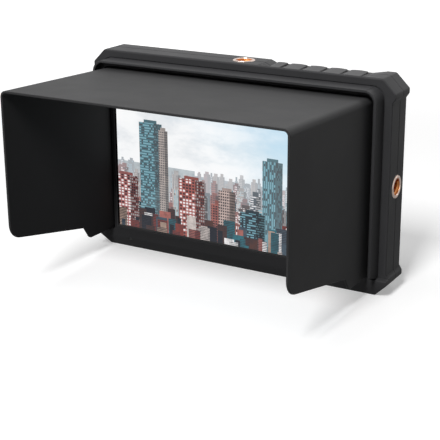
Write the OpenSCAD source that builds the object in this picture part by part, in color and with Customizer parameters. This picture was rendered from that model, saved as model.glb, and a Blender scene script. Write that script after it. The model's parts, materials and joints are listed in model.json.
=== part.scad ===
// Camera field monitor with a push-on sun hood.
// X runs along the width, Y from the screen side towards the back, Z up, in millimetres.
// The origin is the mouth of the tripod thread under the case, on the joint plane of the two shells.

/* [Screen] */
// Width of the lit picture
view_w = 110.6; // [100:0.2:118]
// Height of the lit picture
view_h = 62.2; // [56:0.2:68]
// Height of the picture's lower edge above the bottom of the case
view_z = 9.85; // [9.4:0.05:14]
// Black border between the picture and the bezel
border = 0.8; // [0.5:0.1:1.2]
// Width of the bezel strip at each side of the window
strip_w = 1.8; // [1.6:0.1:3]
// Width of the bezel strip above the window
strip_top = 3.45; // [3:0.05:5]
// Thickness of the bezel lip over the glass
lip_t = 0.5; // [0.4:0.1:0.8]
// How far the bezel stands in front of the front band
lip_out = 2; // [1.6:0.1:2.4]
// Thickness of the display glass
glass_t = 1.2; // [1:0.1:1.6]
// Thickness of the backlight
light_t = 1.9; // [1.5:0.1:2.2]
// Thickness of the foam behind the display
pad_t = 1; // [0.8:0.1:1.4]

/* [Case] */
// Width of the flat front band beside the collar
band_w = 2.4; // [2:0.1:5]
// Height of the front band above the collar
band_top = 3.2; // [3:0.1:6]
// Depth of the front shell, from the joint plane to the front band
front_depth = 7.5; // [7.4:0.1:9]
// Width of each corner's chamfer
corner_w = 5.4; // [4:0.1:6]
// Height of each corner's chamfer
corner_h = 5.3; // [5:0.1:7]
// How far the corner lugs stand out of the sides
lug_out = 1.2; // [0.8:0.1:1.6]
// Thickness of the side walls
wall = 1.6; // [1.4:0.1:1.8]
// Thickness of the top wall, which holds the key recess
top_wall = 2.2; // [2:0.1:2.4]
// Thickness of the back wall
back_t = 1.6; // [1.4:0.1:1.8]
// Height of the chin's knee, where its lower facet starts
chin_knee = 4.3; // [3.5:0.1:5]

/* [Collar and hood] */
// How far the collar stands in front of the front band
collar_out = 7.3; // [6:0.1:10]
// Height of the rim bead above the moat
bead_out = 2; // [1:0.1:3]
// Thickness of the rim bead
bead_t = 0.85; // [0.7:0.05:1.2]
// Width of the moat between the bead and the hood slot
moat_w = 2.85; // [2.4:0.05:4]
// Height of the moat above the hood
moat_top = 2.05; // [1.6:0.05:3]
// Outer radius of the collar's corners
collar_r = 5; // [3:0.5:6]
// Depth of the hood slot behind the front band
slot_depth = 1.5; // [1:0.1:2]
// Running gap on each face of the hood in its slot
slot_gap = 0.3; // [0.2:0.05:0.4]
// Thickness of the hood's sheet
hood_t = 1; // [0.8:0.1:1.4]
// How far the hood reaches in front of the front band
hood_reach = 68.4; // [50:0.2:90]
// Rise of the hood's top towards its front, in degrees
hood_tilt = 2.44; // [0:0.1:5]
// Outer radius of the hood's two bends
hood_r = 2.5; // [1.5:0.1:4]
// Height of the hood's lower edge at the collar
hood_low = 8.1; // [7.9:0.05:9]
// Height of the hood's lower edge at the foot of its front corner
hood_lip_z = 23.2; // [16:0.1:30]

/* [Keys] */
// Distance from key to key
key_pitch = 8.4; // [8.2:0.1:9]
// Width of a key
key_w = 7; // [6:0.1:7.2]
// Width of the first key, at the left end of the row
first_key_w = 4.4; // [4.2:0.1:7]
// Depth of a key from front to back
key_d = 10.9; // [8:0.1:11]
// Place of the last key's right edge
key_right = 50.4; // [50:0.1:52]
// Depth of the key recess in the top of the case
recess = 1.2; // [0.8:0.1:1.3]
// How far the back of a key stands above the recess
key_up = 0.8; // [0.5:0.05:0.9]
// Travel of a key
key_travel = 0.4; // [0.3:0.05:0.5]

/* [Threaded inserts] */
// Radius of the thread's wall
thread_r = 2.55; // [2.5:0.01:2.6]
// Length of an insert
insert_len = 6; // [5:0.1:6.4]
// Radius of an insert's body
insert_r = 3.75; // [3.5:0.05:3.9]
// Radius of an insert's flange
flange_r = 4.45; // [4.2:0.05:4.6]
// Thickness of an insert's flange
flange_t = 0.8; // [0.6:0.1:1]

/* [Battery plate] */
// Width of the channel that takes the battery
bay_w = 38.8; // [38:0.1:42]
// Height of the plate
plate_h = 66; // [60:0.5:68]
// Thickness of the plate's floor
floor_t = 3.6; // [3.4:0.1:4.5]
// Height of the hooks above the floor
hook_h = 2.9; // [2.4:0.1:4]
// How far the hooks reach over the channel
hook_over = 1.3; // [1:0.1:2]
// Travel of the release button
latch_travel = 1.3; // [1:0.1:1.4]

/* [Hidden] */

$fn = 48;
eps = 0.01;
far = 200;
fit = 0.2;
key_count = 5;

// Widths worked out from the screen outwards
window_hw = view_w / 2 + border;
bezel_hw = window_hw + strip_w;
hood_hw = bezel_hw + slot_gap + hood_t;
slot_hw = hood_hw + slot_gap;
bead_in_hw = slot_hw + moat_w;
collar_hw = bead_in_hw + bead_t;
case_hw = collar_hw + band_w;
lug_hw = case_hw + lug_out;

// Heights worked out from the screen upwards, at the collar's front plane
window_z0 = view_z - border;
window_z1 = view_z + view_h + border;
bezel_z1 = window_z1 + strip_top;
hood_z = bezel_z1 + slot_gap + hood_t;
collar_z = hood_z + slot_gap + moat_top + bead_t;
case_h = collar_z + band_top;
lug_side = 1.9;
lug_step = 1.8;
case_mid = case_h / 2;

// Depths, from the joint plane forwards and backwards
band_y = -front_depth;
bezel_y = band_y - lip_out;
collar_y = band_y - collar_out;
moat_y = collar_y + bead_out;
slot_y = band_y + slot_depth;
seat_gap = 0.3;
glass_y = bezel_y + lip_t;
light_y = glass_y + glass_t;
tray_y = light_y + light_t;
tray_t = 0.3;
pad_y = tray_y + tray_t;
shelf_y = pad_y + pad_t;
chassis_t = 0.8;
stand_h = 1.5;
board_y = shelf_y + chassis_t + stand_h;
board_t = 1.4;
board_back = board_y + board_t;
video_t = 5.6;
video_clear = 0.15;
flange_edge = 2;
rear_depth = max(flange_r + flange_edge, board_back + video_t + video_clear + back_t);
back_in = rear_depth - back_t;

// Chin and legs of the collar
chin_side = 6.9;
chin_top = 7.4;
leg_back = 6.8;
leg_front = 9.3;
band_edge_r = 0.7;
back_edge_r = 0.5;
joint_step = 0.1;

// Display
glass_hw = bezel_hw - 1.1;
glass_z0 = window_z0 - 2.65;
glass_z1 = window_z1 + 1.55;
light_z0 = glass_z0 + 2.6;
pad_w = 3;

// Chassis plate, main board and the posts beside them
chassis_hw = glass_hw + 1.8;
chassis_z0 = glass_z0 + 0.8;
chassis_z1 = glass_z1 + 2.4;
ear_z = [case_mid - 16, case_mid + 16];
ear_x = (slot_hw + case_hw - wall) / 2 - 0.5;
ear_h = 6;
ear_r = 0.9;
board_hw = glass_hw - 0.8;
board_z0 = glass_z0 + 2.6;
board_z1 = glass_z1 - 0.4;
post_z0 = 14;
post_z1 = case_h - 13.6;
tab_z0 = post_z0 + 3;
tab_z1 = post_z1 - 3.2;
tab_x = case_hw - wall - 1;
stand_x = board_hw - 8;
stand_z = [board_z0 + 5, board_z1 - 5];
stand_r = 2.2;
post_r = 1.9;
post_x = (slot_hw + case_hw - wall) / 2;
posts = [
  [post_x, post_z0], [-post_x, post_z0], [post_x, post_z1], [-post_x, post_z1],
  [34, wall + post_r - 0.5], [-34, wall + post_r - 0.5]
];
screw_r = 1;
screw_hole_r = 1.15;
screw_head_r = 1.8;
screw_head_t = 1;
boss_r = 5;

// Ribbon
ribbon_w = 18;
ribbon_x = 18;
ribbon_t = 0.2;
ribbon_room = 2;

// Sockets on the left side
socket_back = 1.2;
socket_x = -(case_hw - socket_back);
video_w = 15;
video_len = 11;
video_skin = 0.4;
video_tongue = 3.2;
video_y = board_back + video_t / 2;
socket_step = 17.5;
phone_z = tab_z0 + 4;
video_out_z = phone_z + 12;
video_in_z = video_out_z + socket_step;
phone_r = 1.8;
phone_w = 5.6;
phone_len = 12;
nose_r = 2.5;
power_z = video_in_z + 12.5;
power_r = 1.95;
power_pin_r = 0.65;
power_w = 6;
power_len = 11;

// Keys
recess_y0 = band_y + 0.75;
recess_x0 = key_x1(key_count - 1) - first_key_w - 0.7;
recess_x1 = key_right + 1.2;
ramp_left = 2.6;
ramp_right = 6.3;
key_y0 = recess_y0 + 1;
recess_z = case_h - recess;
bezel_plate_t = 0.4;
bezel_plate_z = recess_z - bezel_plate_t;
wall_in_z = case_h - top_wall;
key_gap = 0.2;
flange_over = 0.4;
flange_h = 0.5;
flange_gap = 0.05;
key_top_z = recess_z + key_up;
key_front_up = 0.25;
key_lean = atan((key_up - key_front_up) / key_d);
key_foot_y1 = back_in - 0.2;
key_board_d = 9;
key_low_z = wall_in_z - flange_gap - flange_h;
switch_top_z = key_low_z - key_travel - 0.05;
switch_h = 1.2;
stem_h = 0.4;
key_board_z = switch_top_z - stem_h - switch_h;
key_board_t = 0.8;
key_mid_y = key_y0 + key_d / 2;
key_room_y = key_y0 - 0.2;
key_room_x0 = recess_x0 - 2.2;
key_room_x1 = recess_x1 + 2.2;
key_rib_w = 2;
key_rib_h = 1.6;

// Battery plate
rail_t = 2;
bay_hw = bay_w / 2;
plate_hw = bay_hw + rail_t;
plate_z0 = (case_h - plate_h) / 2;
plate_z1 = plate_z0 + plate_h;
floor_y = rear_depth + floor_t;
hook_y = floor_y + hook_h;
hook_t = 1;
hook_len = 9;
hook_count = 3;
hook_step = 18;
block_h = 8;
block_hw = 11;
block_up = 2.4;
blade_pitch = 7;
latch_r = 3;
latch_z = plate_z1 - 5.5;
latch_up = 1.35;
latch_flange = 0.6;
latch_skin = 0.8;
latch_gap = 0.2;
spring_r = 2.2;
spring_wire = 0.35;
spring_turns = 3;
lead_r = 0.6;
plate_screw_z = [plate_z0 + 13, plate_z1 - 13];
plate_screw_x = bay_hw - 5;

// Vents in the back
vent_count = 7;
vent_pitch = 3.4;
vent_w = 1.3;
vent_h = 13;
vent_x = plate_hw + 5.5;

// Points of an arc that rounds the corner b between a and c
function unit(v) = v / norm(v);
function corner_arc(a, b, c, r, n = 7) =
  let (u = unit(a - b), v = unit(c - b), half = acos(u * v) / 2)
  let (centre = b + unit(u + v) * r / sin(half))
  let (p = b + u * r / tan(half) - centre, q = b + v * r / tan(half) - centre)
  [for (i = [0 : n]) let (t = i / n, w = unit(p * (1 - t) + q * t)) centre + w * r];

// Half of the case outline, from the top edge down to the bottom edge, as [x, z]
function case_side(hw, lug) = [
  [lug - corner_w, case_h], [lug, case_h - corner_h], [lug, case_h - corner_h - lug_side],
  [hw, case_h - corner_h - lug_side - lug_step], [hw, corner_h + lug_side + lug_step],
  [lug, corner_h + lug_side], [lug, corner_h], [lug - corner_w, 0]
];
function flipped(points) = [for (i = [len(points) - 1 : -1 : 0]) [-points[i][0], points[i][1]]];

// Outline of the hollow, a wall inside the case outline
chamfer_in = wall * sqrt(corner_w * corner_w + corner_h * corner_h) / corner_h;
function chamfer_x(z) = lug_hw - corner_w - chamfer_in + (case_h - z) * corner_w / corner_h;
function chamfer_z(x) = case_h - (x - lug_hw + corner_w + chamfer_in) * corner_h / corner_w;
function hollow_side() =
  let (hw = case_hw - wall, z1 = wall_in_z, z0 = wall)
  [[chamfer_x(z1), z1], [hw, chamfer_z(hw)], [hw, case_h - chamfer_z(hw)], [chamfer_x(case_h - z0), z0]];

module case_outline(inset = 0) {
  side = case_side(case_hw - inset, lug_hw - inset);
  polygon(concat(side, flipped(side)));
}

module hollow_outline() {
  side = hollow_side();
  polygon(concat(side, flipped(side)));
}

// A flat [x, z] shape raised from y0 to y1, a [y, z] shape from x0 to x1, and cylinders along the axes
module along_y(y0, y1) translate([0, y1, 0]) rotate([90, 0, 0]) linear_extrude(y1 - y0) children();
module along_x(x0, x1) translate([x0, 0, 0]) rotate([90, 0, 90]) linear_extrude(x1 - x0) children();
module rod_y(x, z, r, y0, y1) translate([x, y1, z]) rotate([90, 0, 0]) cylinder(r = r, h = y1 - y0);
module rod_x(y, z, r, x0, x1) translate([x0, y, z]) rotate([0, 90, 0]) cylinder(r = r, h = x1 - x0);
module box(x0, x1, y0, y1, z0, z1) translate([x0, y0, z0]) cube([x1 - x0, y1 - y0, z1 - z0]);

// An upright shape with two round upper corners
module arch(hw, z0, z1, r) {
  translate([-hw, z0]) square([2 * hw, z1 - z0 - r]);
  translate([-hw + r, z0]) square([2 * (hw - r), z1 - z0]);
  for (side = [-1, 1]) translate([side * (hw - r), z1 - r]) circle(r = r);
}

// What rounding an outside edge takes away, for an edge along X or along Z
module edge_cut_x(y, z, r, back, down) {
  translate([-far / 2, y, z]) difference() {
    translate([0, back ? -r : -eps, down ? -r : -eps]) cube([far, r + eps, r + eps]);
    translate([0, back ? -r : r, down ? -r : r]) rotate([0, 90, 0]) cylinder(r = r, h = far);
  }
}

module edge_cut_z(x, y, r, back) {
  z0 = corner_h + lug_side + lug_step;
  for (side = [-1, 1]) mirror([side < 0 ? 1 : 0, 0, 0]) translate([x, y, z0]) difference() {
    translate([-r, back ? -r : -eps, 0]) cube([r + eps, r + eps, case_h - 2 * z0]);
    translate([-r, back ? -r : r, -1]) cylinder(r = r, h = case_h);
  }
}

// The inside of the hood as a solid channel that rises to the front, grown by a gap
module channel(grow, y0, y1) {
  translate([0, collar_y, hood_z]) rotate([-hood_tilt, 0, 0])
    along_y(y0 - collar_y, y1 - collar_y)
      arch(hood_hw + grow, -hood_z - 10, grow, hood_r + grow);
}

module hood_slot() {
  intersection() {
    channel(slot_gap, -far, bezel_y + 5);
    box(-far, far, -far, bezel_y, -far, far);
  }
  intersection() {
    difference() {
      channel(slot_gap, bezel_y - 5, slot_y + 5);
      channel(-hood_t - slot_gap, bezel_y - 6, slot_y + 6);
    }
    box(-far, far, bezel_y - eps, slot_y, hood_low - slot_gap, far);
  }
}

// The window, with its front edges broken at 45 degrees and mitred in the corners
module window() {
  edge = lip_t - 0.1;
  z0 = window_z0;
  z1 = window_z1;
  along_y(bezel_y - 1, glass_y + eps) translate([-window_hw, z0]) square([2 * window_hw, z1 - z0]);
  intersection() {
    along_x(-far / 2, far / 2)
      polygon([[bezel_y - 1, z0 - edge - 1], [bezel_y + edge, z0], [bezel_y + edge, z1], [bezel_y - 1, z1 + edge + 1]]);
    translate([0, 0, -far / 2]) linear_extrude(2 * far)
      polygon([[-window_hw - edge - 1, bezel_y - 1], [-window_hw, bezel_y + edge],
        [window_hw, bezel_y + edge], [window_hw + edge + 1, bezel_y - 1]]);
  }
}

// The recess for the keys in the top of the case, and the windows under it
module key_recess() {
  along_y(recess_y0, far) polygon([
    [recess_x0, recess_z - bezel_plate_t], [recess_x1, recess_z - bezel_plate_t], [recess_x1, recess_z],
    [recess_x1 + ramp_right, case_h + eps], [recess_x0 - ramp_left, case_h + eps], [recess_x0, recess_z]
  ]);
}

function key_x1(i) = key_right - i * key_pitch;
function key_width(i) = i == key_count - 1 ? first_key_w : key_w;
module key_windows(z0, z1) {
  for (i = [0 : key_count - 1])
    box(key_x1(i) - key_width(i) - key_gap, key_x1(i) + key_gap, key_y0 - key_gap, key_y0 + key_d + key_gap, z0, z1);
}

// Places of the three inserts: each child is drawn with its axis along Z and its mouth at z = 0
module at_inserts() {
  translate([0, 0, 0]) mirror([0, 0, 1]) children();
  translate([0, 0, case_h]) children();
  translate([case_hw, 0, case_mid]) rotate([0, 90, 0]) children();
}

module insert_body(r, flange, t) {
  translate([0, 0, -insert_len]) cylinder(r = r, h = insert_len);
  translate([0, 0, -t]) cylinder(r = flange, h = t);
}

module insert_pocket() insert_body(insert_r, flange_r, flange_t);

// Openings for the sockets in the left wall
module socket_holes() {
  x0 = -case_hw - lug_out - 1;
  for (z = [video_in_z, video_out_z])
    along_x(x0, x0 + wall + lug_out + 2) translate([video_y, z])
      square([video_t + 2 * fit, video_w + 2 * fit], center = true);
  rod_x(video_y, phone_z, nose_r + fit, x0, x0 + wall + lug_out + 2);
  rod_x(video_y, power_z, nose_r + fit, x0, x0 + wall + lug_out + 2);
}

module front_housing() color([0.19, 0.19, 0.2]) difference() {
  union() {
    difference() {
      along_y(band_y, 0) case_outline();
      edge_cut_x(band_y, case_h, band_edge_r, false, true);
      edge_cut_z(case_hw, band_y, band_edge_r, false);
      along_y(shelf_y, eps) hollow_outline();
    }
    difference() {
      along_y(collar_y, band_y + eps) arch(collar_hw, leg_back, collar_z, collar_r);
      along_y(collar_y - 1, moat_y) arch(bead_in_hw, 0, collar_z - bead_t, collar_r - bead_t);
      along_x(-far, far) polygon([[band_y + 1, leg_back - 0.34], [collar_y - 1, leg_front + 0.34],
        [collar_y - 1, 0], [band_y + 1, 0]]);
    }
    intersection() {
      along_y(bezel_y - 1, band_y + eps) case_outline();
      along_x(-far, far) polygon([[band_y + eps, 0], [band_y, 0], [bezel_y, chin_knee], [bezel_y, chin_side],
        [band_y, chin_top], [band_y + eps, chin_top]]);
    }
    along_y(bezel_y, band_y + eps) arch(slot_hw + eps, chin_knee, bezel_z1 + 1, hood_r);
    front_posts();
  }
  hood_slot();
  window();
  along_y(glass_y, eps)
    translate([-glass_hw - fit, glass_z0 - fit])
      square([2 * (glass_hw + fit), glass_z1 - glass_z0 + 2 * fit]);
  box(ribbon_x - ribbon_w / 2 - ribbon_room, ribbon_x + ribbon_w / 2 + ribbon_room, light_y, eps,
    ribbon_z0 - 0.6, glass_z0);
  box(key_room_x0, key_room_x1, key_room_y, eps, key_board_z - key_board_t, wall_in_z);
  collar_groove();
  at_inserts() insert_pocket();
  socket_holes();
  key_recess();
  key_windows(wall_in_z - 1, case_h);
  rod_y(status_x, status_z, status_r, bezel_y - 2, shelf_y + eps);
  for (p = posts) rod_y(p[0], p[1], screw_r, shelf_y + 0.6, 1);
  for (side = [-1, 1], z = ear_z) rod_y(side * ear_x, z, ear_r, shelf_y - 2.4, shelf_y + 1);
}

// Screw posts and insert bosses in the front shell
module front_posts() {
  for (p = posts) rod_y(p[0], p[1], post_r, shelf_y - eps, 0);
  intersection() {
    at_inserts() translate([0, 0, -insert_len - 0.5]) cylinder(r = boss_r, h = insert_len + 0.5 - wall / 2);
    box(-far, far, shelf_y - eps, 0, 0, far);
  }
}

// Fine groove round the foot of the collar
groove_w = 0.35;
groove_d = 0.3;
module collar_groove() {
  difference() {
    along_y(band_y - eps, band_y + groove_d) arch(collar_hw + groove_w, chin_top, collar_z + groove_w, collar_r);
    along_y(band_y - 1, band_y + 1) arch(collar_hw, 0, collar_z, collar_r);
  }
}

status_x = -50;
status_z = 3.9;
status_r = 0.6;
module status_light() color([0.75, 0.85, 0.8]) {
  y0 = band_y - lip_out * status_z / chin_knee + 0.05;
  rod_y(status_x, status_z, status_r, y0, shelf_y);
}

module rear_cover() color([0.24, 0.24, 0.25]) difference() {
  union() {
    difference() {
      along_y(0, rear_depth) case_outline(joint_step);
      edge_cut_x(rear_depth, case_h, back_edge_r, true, true);
      edge_cut_x(rear_depth, 0, back_edge_r, true, false);
      edge_cut_z(case_hw - joint_step, rear_depth, back_edge_r, true);
      along_y(-eps, back_in) hollow_outline();
    }
    for (p = posts) rod_y(p[0], p[1], post_r + 0.5, 0, back_in + eps);
    intersection() {
      at_inserts() translate([0, 0, -insert_len - 0.5]) cylinder(r = boss_r, h = insert_len + 0.5 - wall / 2);
      box(-far, far, 0, back_in + eps, 0, far);
    }
    for (side = [-1, 1], z = plate_screw_z) rod_y(side * plate_screw_x, z, 2.4, back_in - 1.6, back_in + eps);
    for (x = [key_room_x0 + 2, (key_room_x0 + key_room_x1) / 2, key_room_x1 - 2])
      box(x - key_rib_w / 2, x + key_rib_w / 2, 0.2, back_in + eps,
        key_board_z - key_board_t - key_rib_h, key_board_z - key_board_t);
  }
  at_inserts() insert_pocket();
  socket_holes();
  key_recess();
  key_windows(wall_in_z - 1, case_h);
  for (p = posts) {
    rod_y(p[0], p[1], screw_hole_r, -1, far);
    rod_y(p[0], p[1], screw_head_r + fit, rear_depth - screw_head_t - 0.3, far);
  }
  for (side = [-1, 1], z = plate_screw_z) rod_y(side * plate_screw_x, z, screw_r, back_in - 2, far);
  vents();
  box(-3, 3, back_in - 1, far, plate_z0 + 10, plate_z0 + 14);
}

// Two groups of upright slots beside the battery plate, above and below the middle
module vents() {
  for (side = [-1, 1], z = [case_mid - vent_h - 5, case_mid + 5], i = [0 : vent_count - 1]) {
    x = side * (vent_x + i * vent_pitch);
    along_y(back_in - 0.5, far) translate([x, z]) {
      translate([-vent_w / 2, vent_w / 2]) square([vent_w, vent_h - vent_w]);
      translate([0, vent_w / 2]) circle(d = vent_w, $fn = 24);
      translate([0, vent_h - vent_w / 2]) circle(d = vent_w, $fn = 24);
    }
  }
}

// The hood's side outline, from the seat in the slot to the front edge, as [y, z]
foot_y = band_y - 18.9;
heel_y = band_y - 22.6;
heel_rise = 5.6;
arch_y = band_y - 25;
front_y = band_y - hood_reach;
hood_back = slot_y - seat_gap;
slope = (hood_lip_z - hood_low - heel_rise - 0.4) / (hood_reach - 25);
corner_r = 6.5;
module hood_side() {
  heel_z = hood_low + heel_rise;
  a = [hood_back, hood_low];
  b = [foot_y, hood_low + 0.2];
  c = [heel_y, heel_z];
  d = [arch_y - 5, heel_z + 0.4 + 5 * slope];
  e = [front_y, hood_lip_z];
  f = [front_y, far];
  polygon(concat([a], corner_arc(a, b, c, 2.2), corner_arc(b, c, d, 2), corner_arc(d, e, f, corner_r),
    [f, [hood_back, far]]));
}

module sun_hood() color([0.2, 0.2, 0.21]) intersection() {
  difference() {
    channel(0, front_y - 10, slot_y + 5);
    channel(-hood_t, front_y - 11, slot_y + 6);
  }
  along_x(-far, far) hood_side();
}

module lcd_glass() color([0.05, 0.06, 0.08])
  box(-glass_hw, glass_hw, glass_y, light_y, glass_z0, glass_z1);

// Diffuser block with the reflector's stepped edge
module backlight() color([0.9, 0.9, 0.88]) {
  box(-glass_hw + tray_t, glass_hw - tray_t, light_y, tray_y, light_z0 + tray_t, glass_z1 - tray_t);
}

module display_tray() color([0.7, 0.71, 0.73]) difference() {
  box(-glass_hw, glass_hw, light_y, pad_y, light_z0, glass_z1);
  box(-glass_hw + tray_t, glass_hw - tray_t, light_y - 1, tray_y, light_z0 + tray_t, glass_z1 - tray_t);
}

module display_pad() color([0.1, 0.1, 0.1]) difference() {
  box(-glass_hw, glass_hw, pad_y, shelf_y, light_z0, glass_z1);
  box(-glass_hw + pad_w, glass_hw - pad_w, pad_y - 1, shelf_y + 1, light_z0 + pad_w, glass_z1 - pad_w);
}

// Plate that closes the display pocket and carries the main board
module chassis_plate() color([0.75, 0.76, 0.78]) difference() {
  union() {
    box(-chassis_hw, chassis_hw, shelf_y, shelf_y + chassis_t, chassis_z0, chassis_z1);
    for (side = [-1, 1], z = ear_z)
      box(min(0, side * (ear_x + 2)), max(0, side * (ear_x + 2)), shelf_y, shelf_y + chassis_t,
        z - ear_h / 2, z + ear_h / 2);
    for (side = [-1, 1], z = stand_z) rod_y(side * stand_x, z, stand_r, shelf_y, board_y);
  }
  for (side = [-1, 1], z = ear_z) rod_y(side * ear_x, z, screw_hole_r, shelf_y - 1, board_y);
  for (side = [-1, 1], z = stand_z) rod_y(side * stand_x, z, screw_r, shelf_y - 1, board_y + 1);
  box(ribbon_x - ribbon_w / 2 - ribbon_room, ribbon_x + ribbon_w / 2 + ribbon_room, shelf_y - 1, board_y,
    chassis_z0 - 1, board_z0 + 1);
  for (side = [-1, 1]) for (row = [0 : 2])
    rod_y(side * (18 + 9 * row), case_mid, 3, shelf_y - 1, shelf_y + chassis_t + 1);
}

// Flat ribbon from the glass ledge, under the plate and the board, to the board's back
ribbon_z0 = glass_z0 - 1.4;
ribbon_line = [
  [light_y + 0.15, light_z0 - 0.3], [light_y + 0.15, ribbon_z0 + 0.9], [light_y + 1.2, ribbon_z0],
  [board_back + 0.2, ribbon_z0], [board_back + 1.1, ribbon_z0 + 0.9], [board_back + 1.1, board_z0 + 1.5],
  [board_back + 0.75, board_z0 + 2.2], [board_back + 0.75, board_z0 + 4]
];
function ribbon_normal(i) =
  let (n = len(ribbon_line))
  let (a = ribbon_line[max(0, i - 1)], b = ribbon_line[min(n - 1, i + 1)], d = unit(b - a)) [-d[1], d[0]];
function ribbon_edge(side) = [for (i = [0 : len(ribbon_line) - 1]) ribbon_line[i] + ribbon_normal(i) * side];
module ribbon_cable() color([0.75, 0.5, 0.15]) {
  low = ribbon_edge(-ribbon_t / 2);
  high = ribbon_edge(ribbon_t / 2);
  along_x(ribbon_x - ribbon_w / 2, ribbon_x + ribbon_w / 2)
    polygon(concat(low, [for (i = [len(high) - 1 : -1 : 0]) high[i]]));
}

module main_board() color([0.05, 0.3, 0.15]) difference() {
  union() {
    box(-board_hw, board_hw, board_y, board_back, board_z0, board_z1);
    box(-tab_x, 0, board_y, board_back, tab_z0, tab_z1);
  }
  for (side = [-1, 1], z = stand_z) rod_y(side * stand_x, z, screw_hole_r, board_y - 1, board_back + 1);
}

// Chips, coils and connectors on the back of the board
lead_plug_t = 3;
lead_plug_w = 8;
lead_plug_h = 4;
lead_plug_z = plate_z0 + 18.5;
chip = 14;
chip_t = 1.6;
chip_x = 6;
chip_z = case_mid + 2;
memory_w = 8;
memory_h = 12;
memory_t = 1.1;
memory_x = chip_x + 22;
memory_step = 12;
coil = 7;
coil_t = 2.8;
coil_x = -40;
coil_z = board_z0 + 9;
coil_step = 9;
can_r = 2.5;
can_x = -27;
tab_part_w = 2;
tab_part_h = 3;
tab_part_t = 1.2;
tab_part_x = 30;
tab_part_z = case_mid + 14;
tab_part_step = 4.5;
module board_parts() color([0.12, 0.12, 0.13]) {
  box(chip_x - chip / 2, chip_x + chip / 2, board_back, board_back + chip_t, chip_z - chip / 2, chip_z + chip / 2);
  for (side = [-1, 1]) {
    x = memory_x + side * memory_step / 2;
    box(x - memory_w / 2, x + memory_w / 2, board_back, board_back + memory_t,
      chip_z - memory_h / 2, chip_z + memory_h / 2);
  }
  for (i = [0 : 2]) {
    z = coil_z + i * coil_step;
    box(coil_x, coil_x + coil, board_back, board_back + coil_t, z, z + coil);
    rod_y(can_x, z + coil / 2, can_r, board_back, board_back + coil_t + fit);
  }
  for (i = [0 : 4]) {
    x = tab_part_x + i * tab_part_step;
    box(x, x + tab_part_w, board_back, board_back + tab_part_t, tab_part_z, tab_part_z + tab_part_h);
  }
  box(ribbon_x - ribbon_w / 2 - 1.5, ribbon_x + ribbon_w / 2 + 1.5, board_back, board_back + 0.6,
    board_z0 + 2.4, board_z0 + 5.4);
  box(-lead_plug_w / 2, lead_plug_w / 2, board_back, board_back + lead_plug_t,
    lead_plug_z - lead_plug_h / 2, lead_plug_z + lead_plug_h / 2);
}

pad_thick = 0.5;
gap_pad = 12;
sink_y = board_back + chip_t + pad_thick;
module thermal_pad() color([0.6, 0.65, 0.8])
  box(chip_x - gap_pad / 2, chip_x + gap_pad / 2, board_back + chip_t, sink_y,
    chip_z - gap_pad / 2, chip_z + gap_pad / 2);

sink_w = 26;
fin_count = 9;
fin_t = 1;
module heat_sink() color([0.78, 0.79, 0.8]) {
  x0 = chip_x - sink_w / 2;
  x1 = chip_x + sink_w / 2;
  z0 = chip_z - sink_w / 2;
  z1 = chip_z + sink_w / 2;
  box(x0, x1, sink_y, sink_y + 1.2, z0, z1);
  for (i = [0 : fin_count - 1]) {
    x = x0 + i * (sink_w - fin_t) / (fin_count - 1);
    box(x, x + fin_t, sink_y + 1, back_in - fit, z0, z1);
  }
}

// A video socket: a folded metal shell with two cut corners, and the tongue inside
module video_shape(grow) {
  w = video_w / 2 + grow;
  t = video_t / 2 + grow;
  polygon([[-t, -w + 1.2], [-t, w - 1.2], [-t + 1.6, w], [t, w], [t, -w], [-t + 1.6, -w]]);
}
tongue_hw = 5.8;
tongue_front = 0.2;
tongue_back = 0.9;
module video_socket(z) {
  color([0.75, 0.75, 0.76]) translate([0, video_y, z]) difference() {
    along_x(socket_x, socket_x + video_len) video_shape(0);
    along_x(socket_x - 1, socket_x + video_len - 1.5) video_shape(-video_skin);
  }
  color([0.1, 0.1, 0.1])
    box(socket_x + video_tongue, socket_x + video_len - 1, video_y - tongue_front, video_y + tongue_back,
      z - tongue_hw, z + tongue_hw);
}
module video_in_socket() video_socket(video_in_z);
module video_out_socket() video_socket(video_out_z);

// Round sockets: a moulded block with a nose through the wall
module round_socket(z, w, len, r) {
  difference() {
    union() {
      box(-case_hw + wall + fit, socket_x + len, board_back, board_back + video_t, z - w / 2, z + w / 2);
      rod_x(video_y, z, nose_r, -case_hw + 0.4, -case_hw + wall + fit + eps);
    }
    rod_x(video_y, z, r, -case_hw - 1, socket_x + len - 1);
  }
}
module headphone_socket() color([0.08, 0.08, 0.08]) round_socket(phone_z, phone_w, phone_len, phone_r);
module power_socket() color([0.08, 0.08, 0.08]) {
  round_socket(power_z, power_w, power_len, power_r);
  rod_x(video_y, power_z, power_pin_r, socket_x + 1, socket_x + power_len - 0.5);
}

module key_board() color([0.05, 0.3, 0.15])
  box(key_room_x0 + fit, key_room_x1 - fit, key_y0, key_y0 + key_board_d, key_board_z - key_board_t, key_board_z);

switch_hw = 2.2;
stem_r = 1.2;
module key_switches() color([0.8, 0.8, 0.8]) for (i = [0 : key_count - 1]) {
  x = key_x1(i) - key_width(i) / 2;
  box(x - switch_hw, x + switch_hw, key_mid_y - switch_hw, key_mid_y + switch_hw,
    key_board_z, key_board_z + switch_h);
  translate([x, key_mid_y, key_board_z + switch_h - eps]) cylinder(r = stem_r, h = stem_h + eps);
}

module key_bezel() color([0.12, 0.12, 0.12]) difference() {
  box(recess_x0, recess_x1, recess_y0, rear_depth - joint_step, bezel_plate_z, recess_z);
  key_windows(bezel_plate_z - 1, case_h);
}

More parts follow.
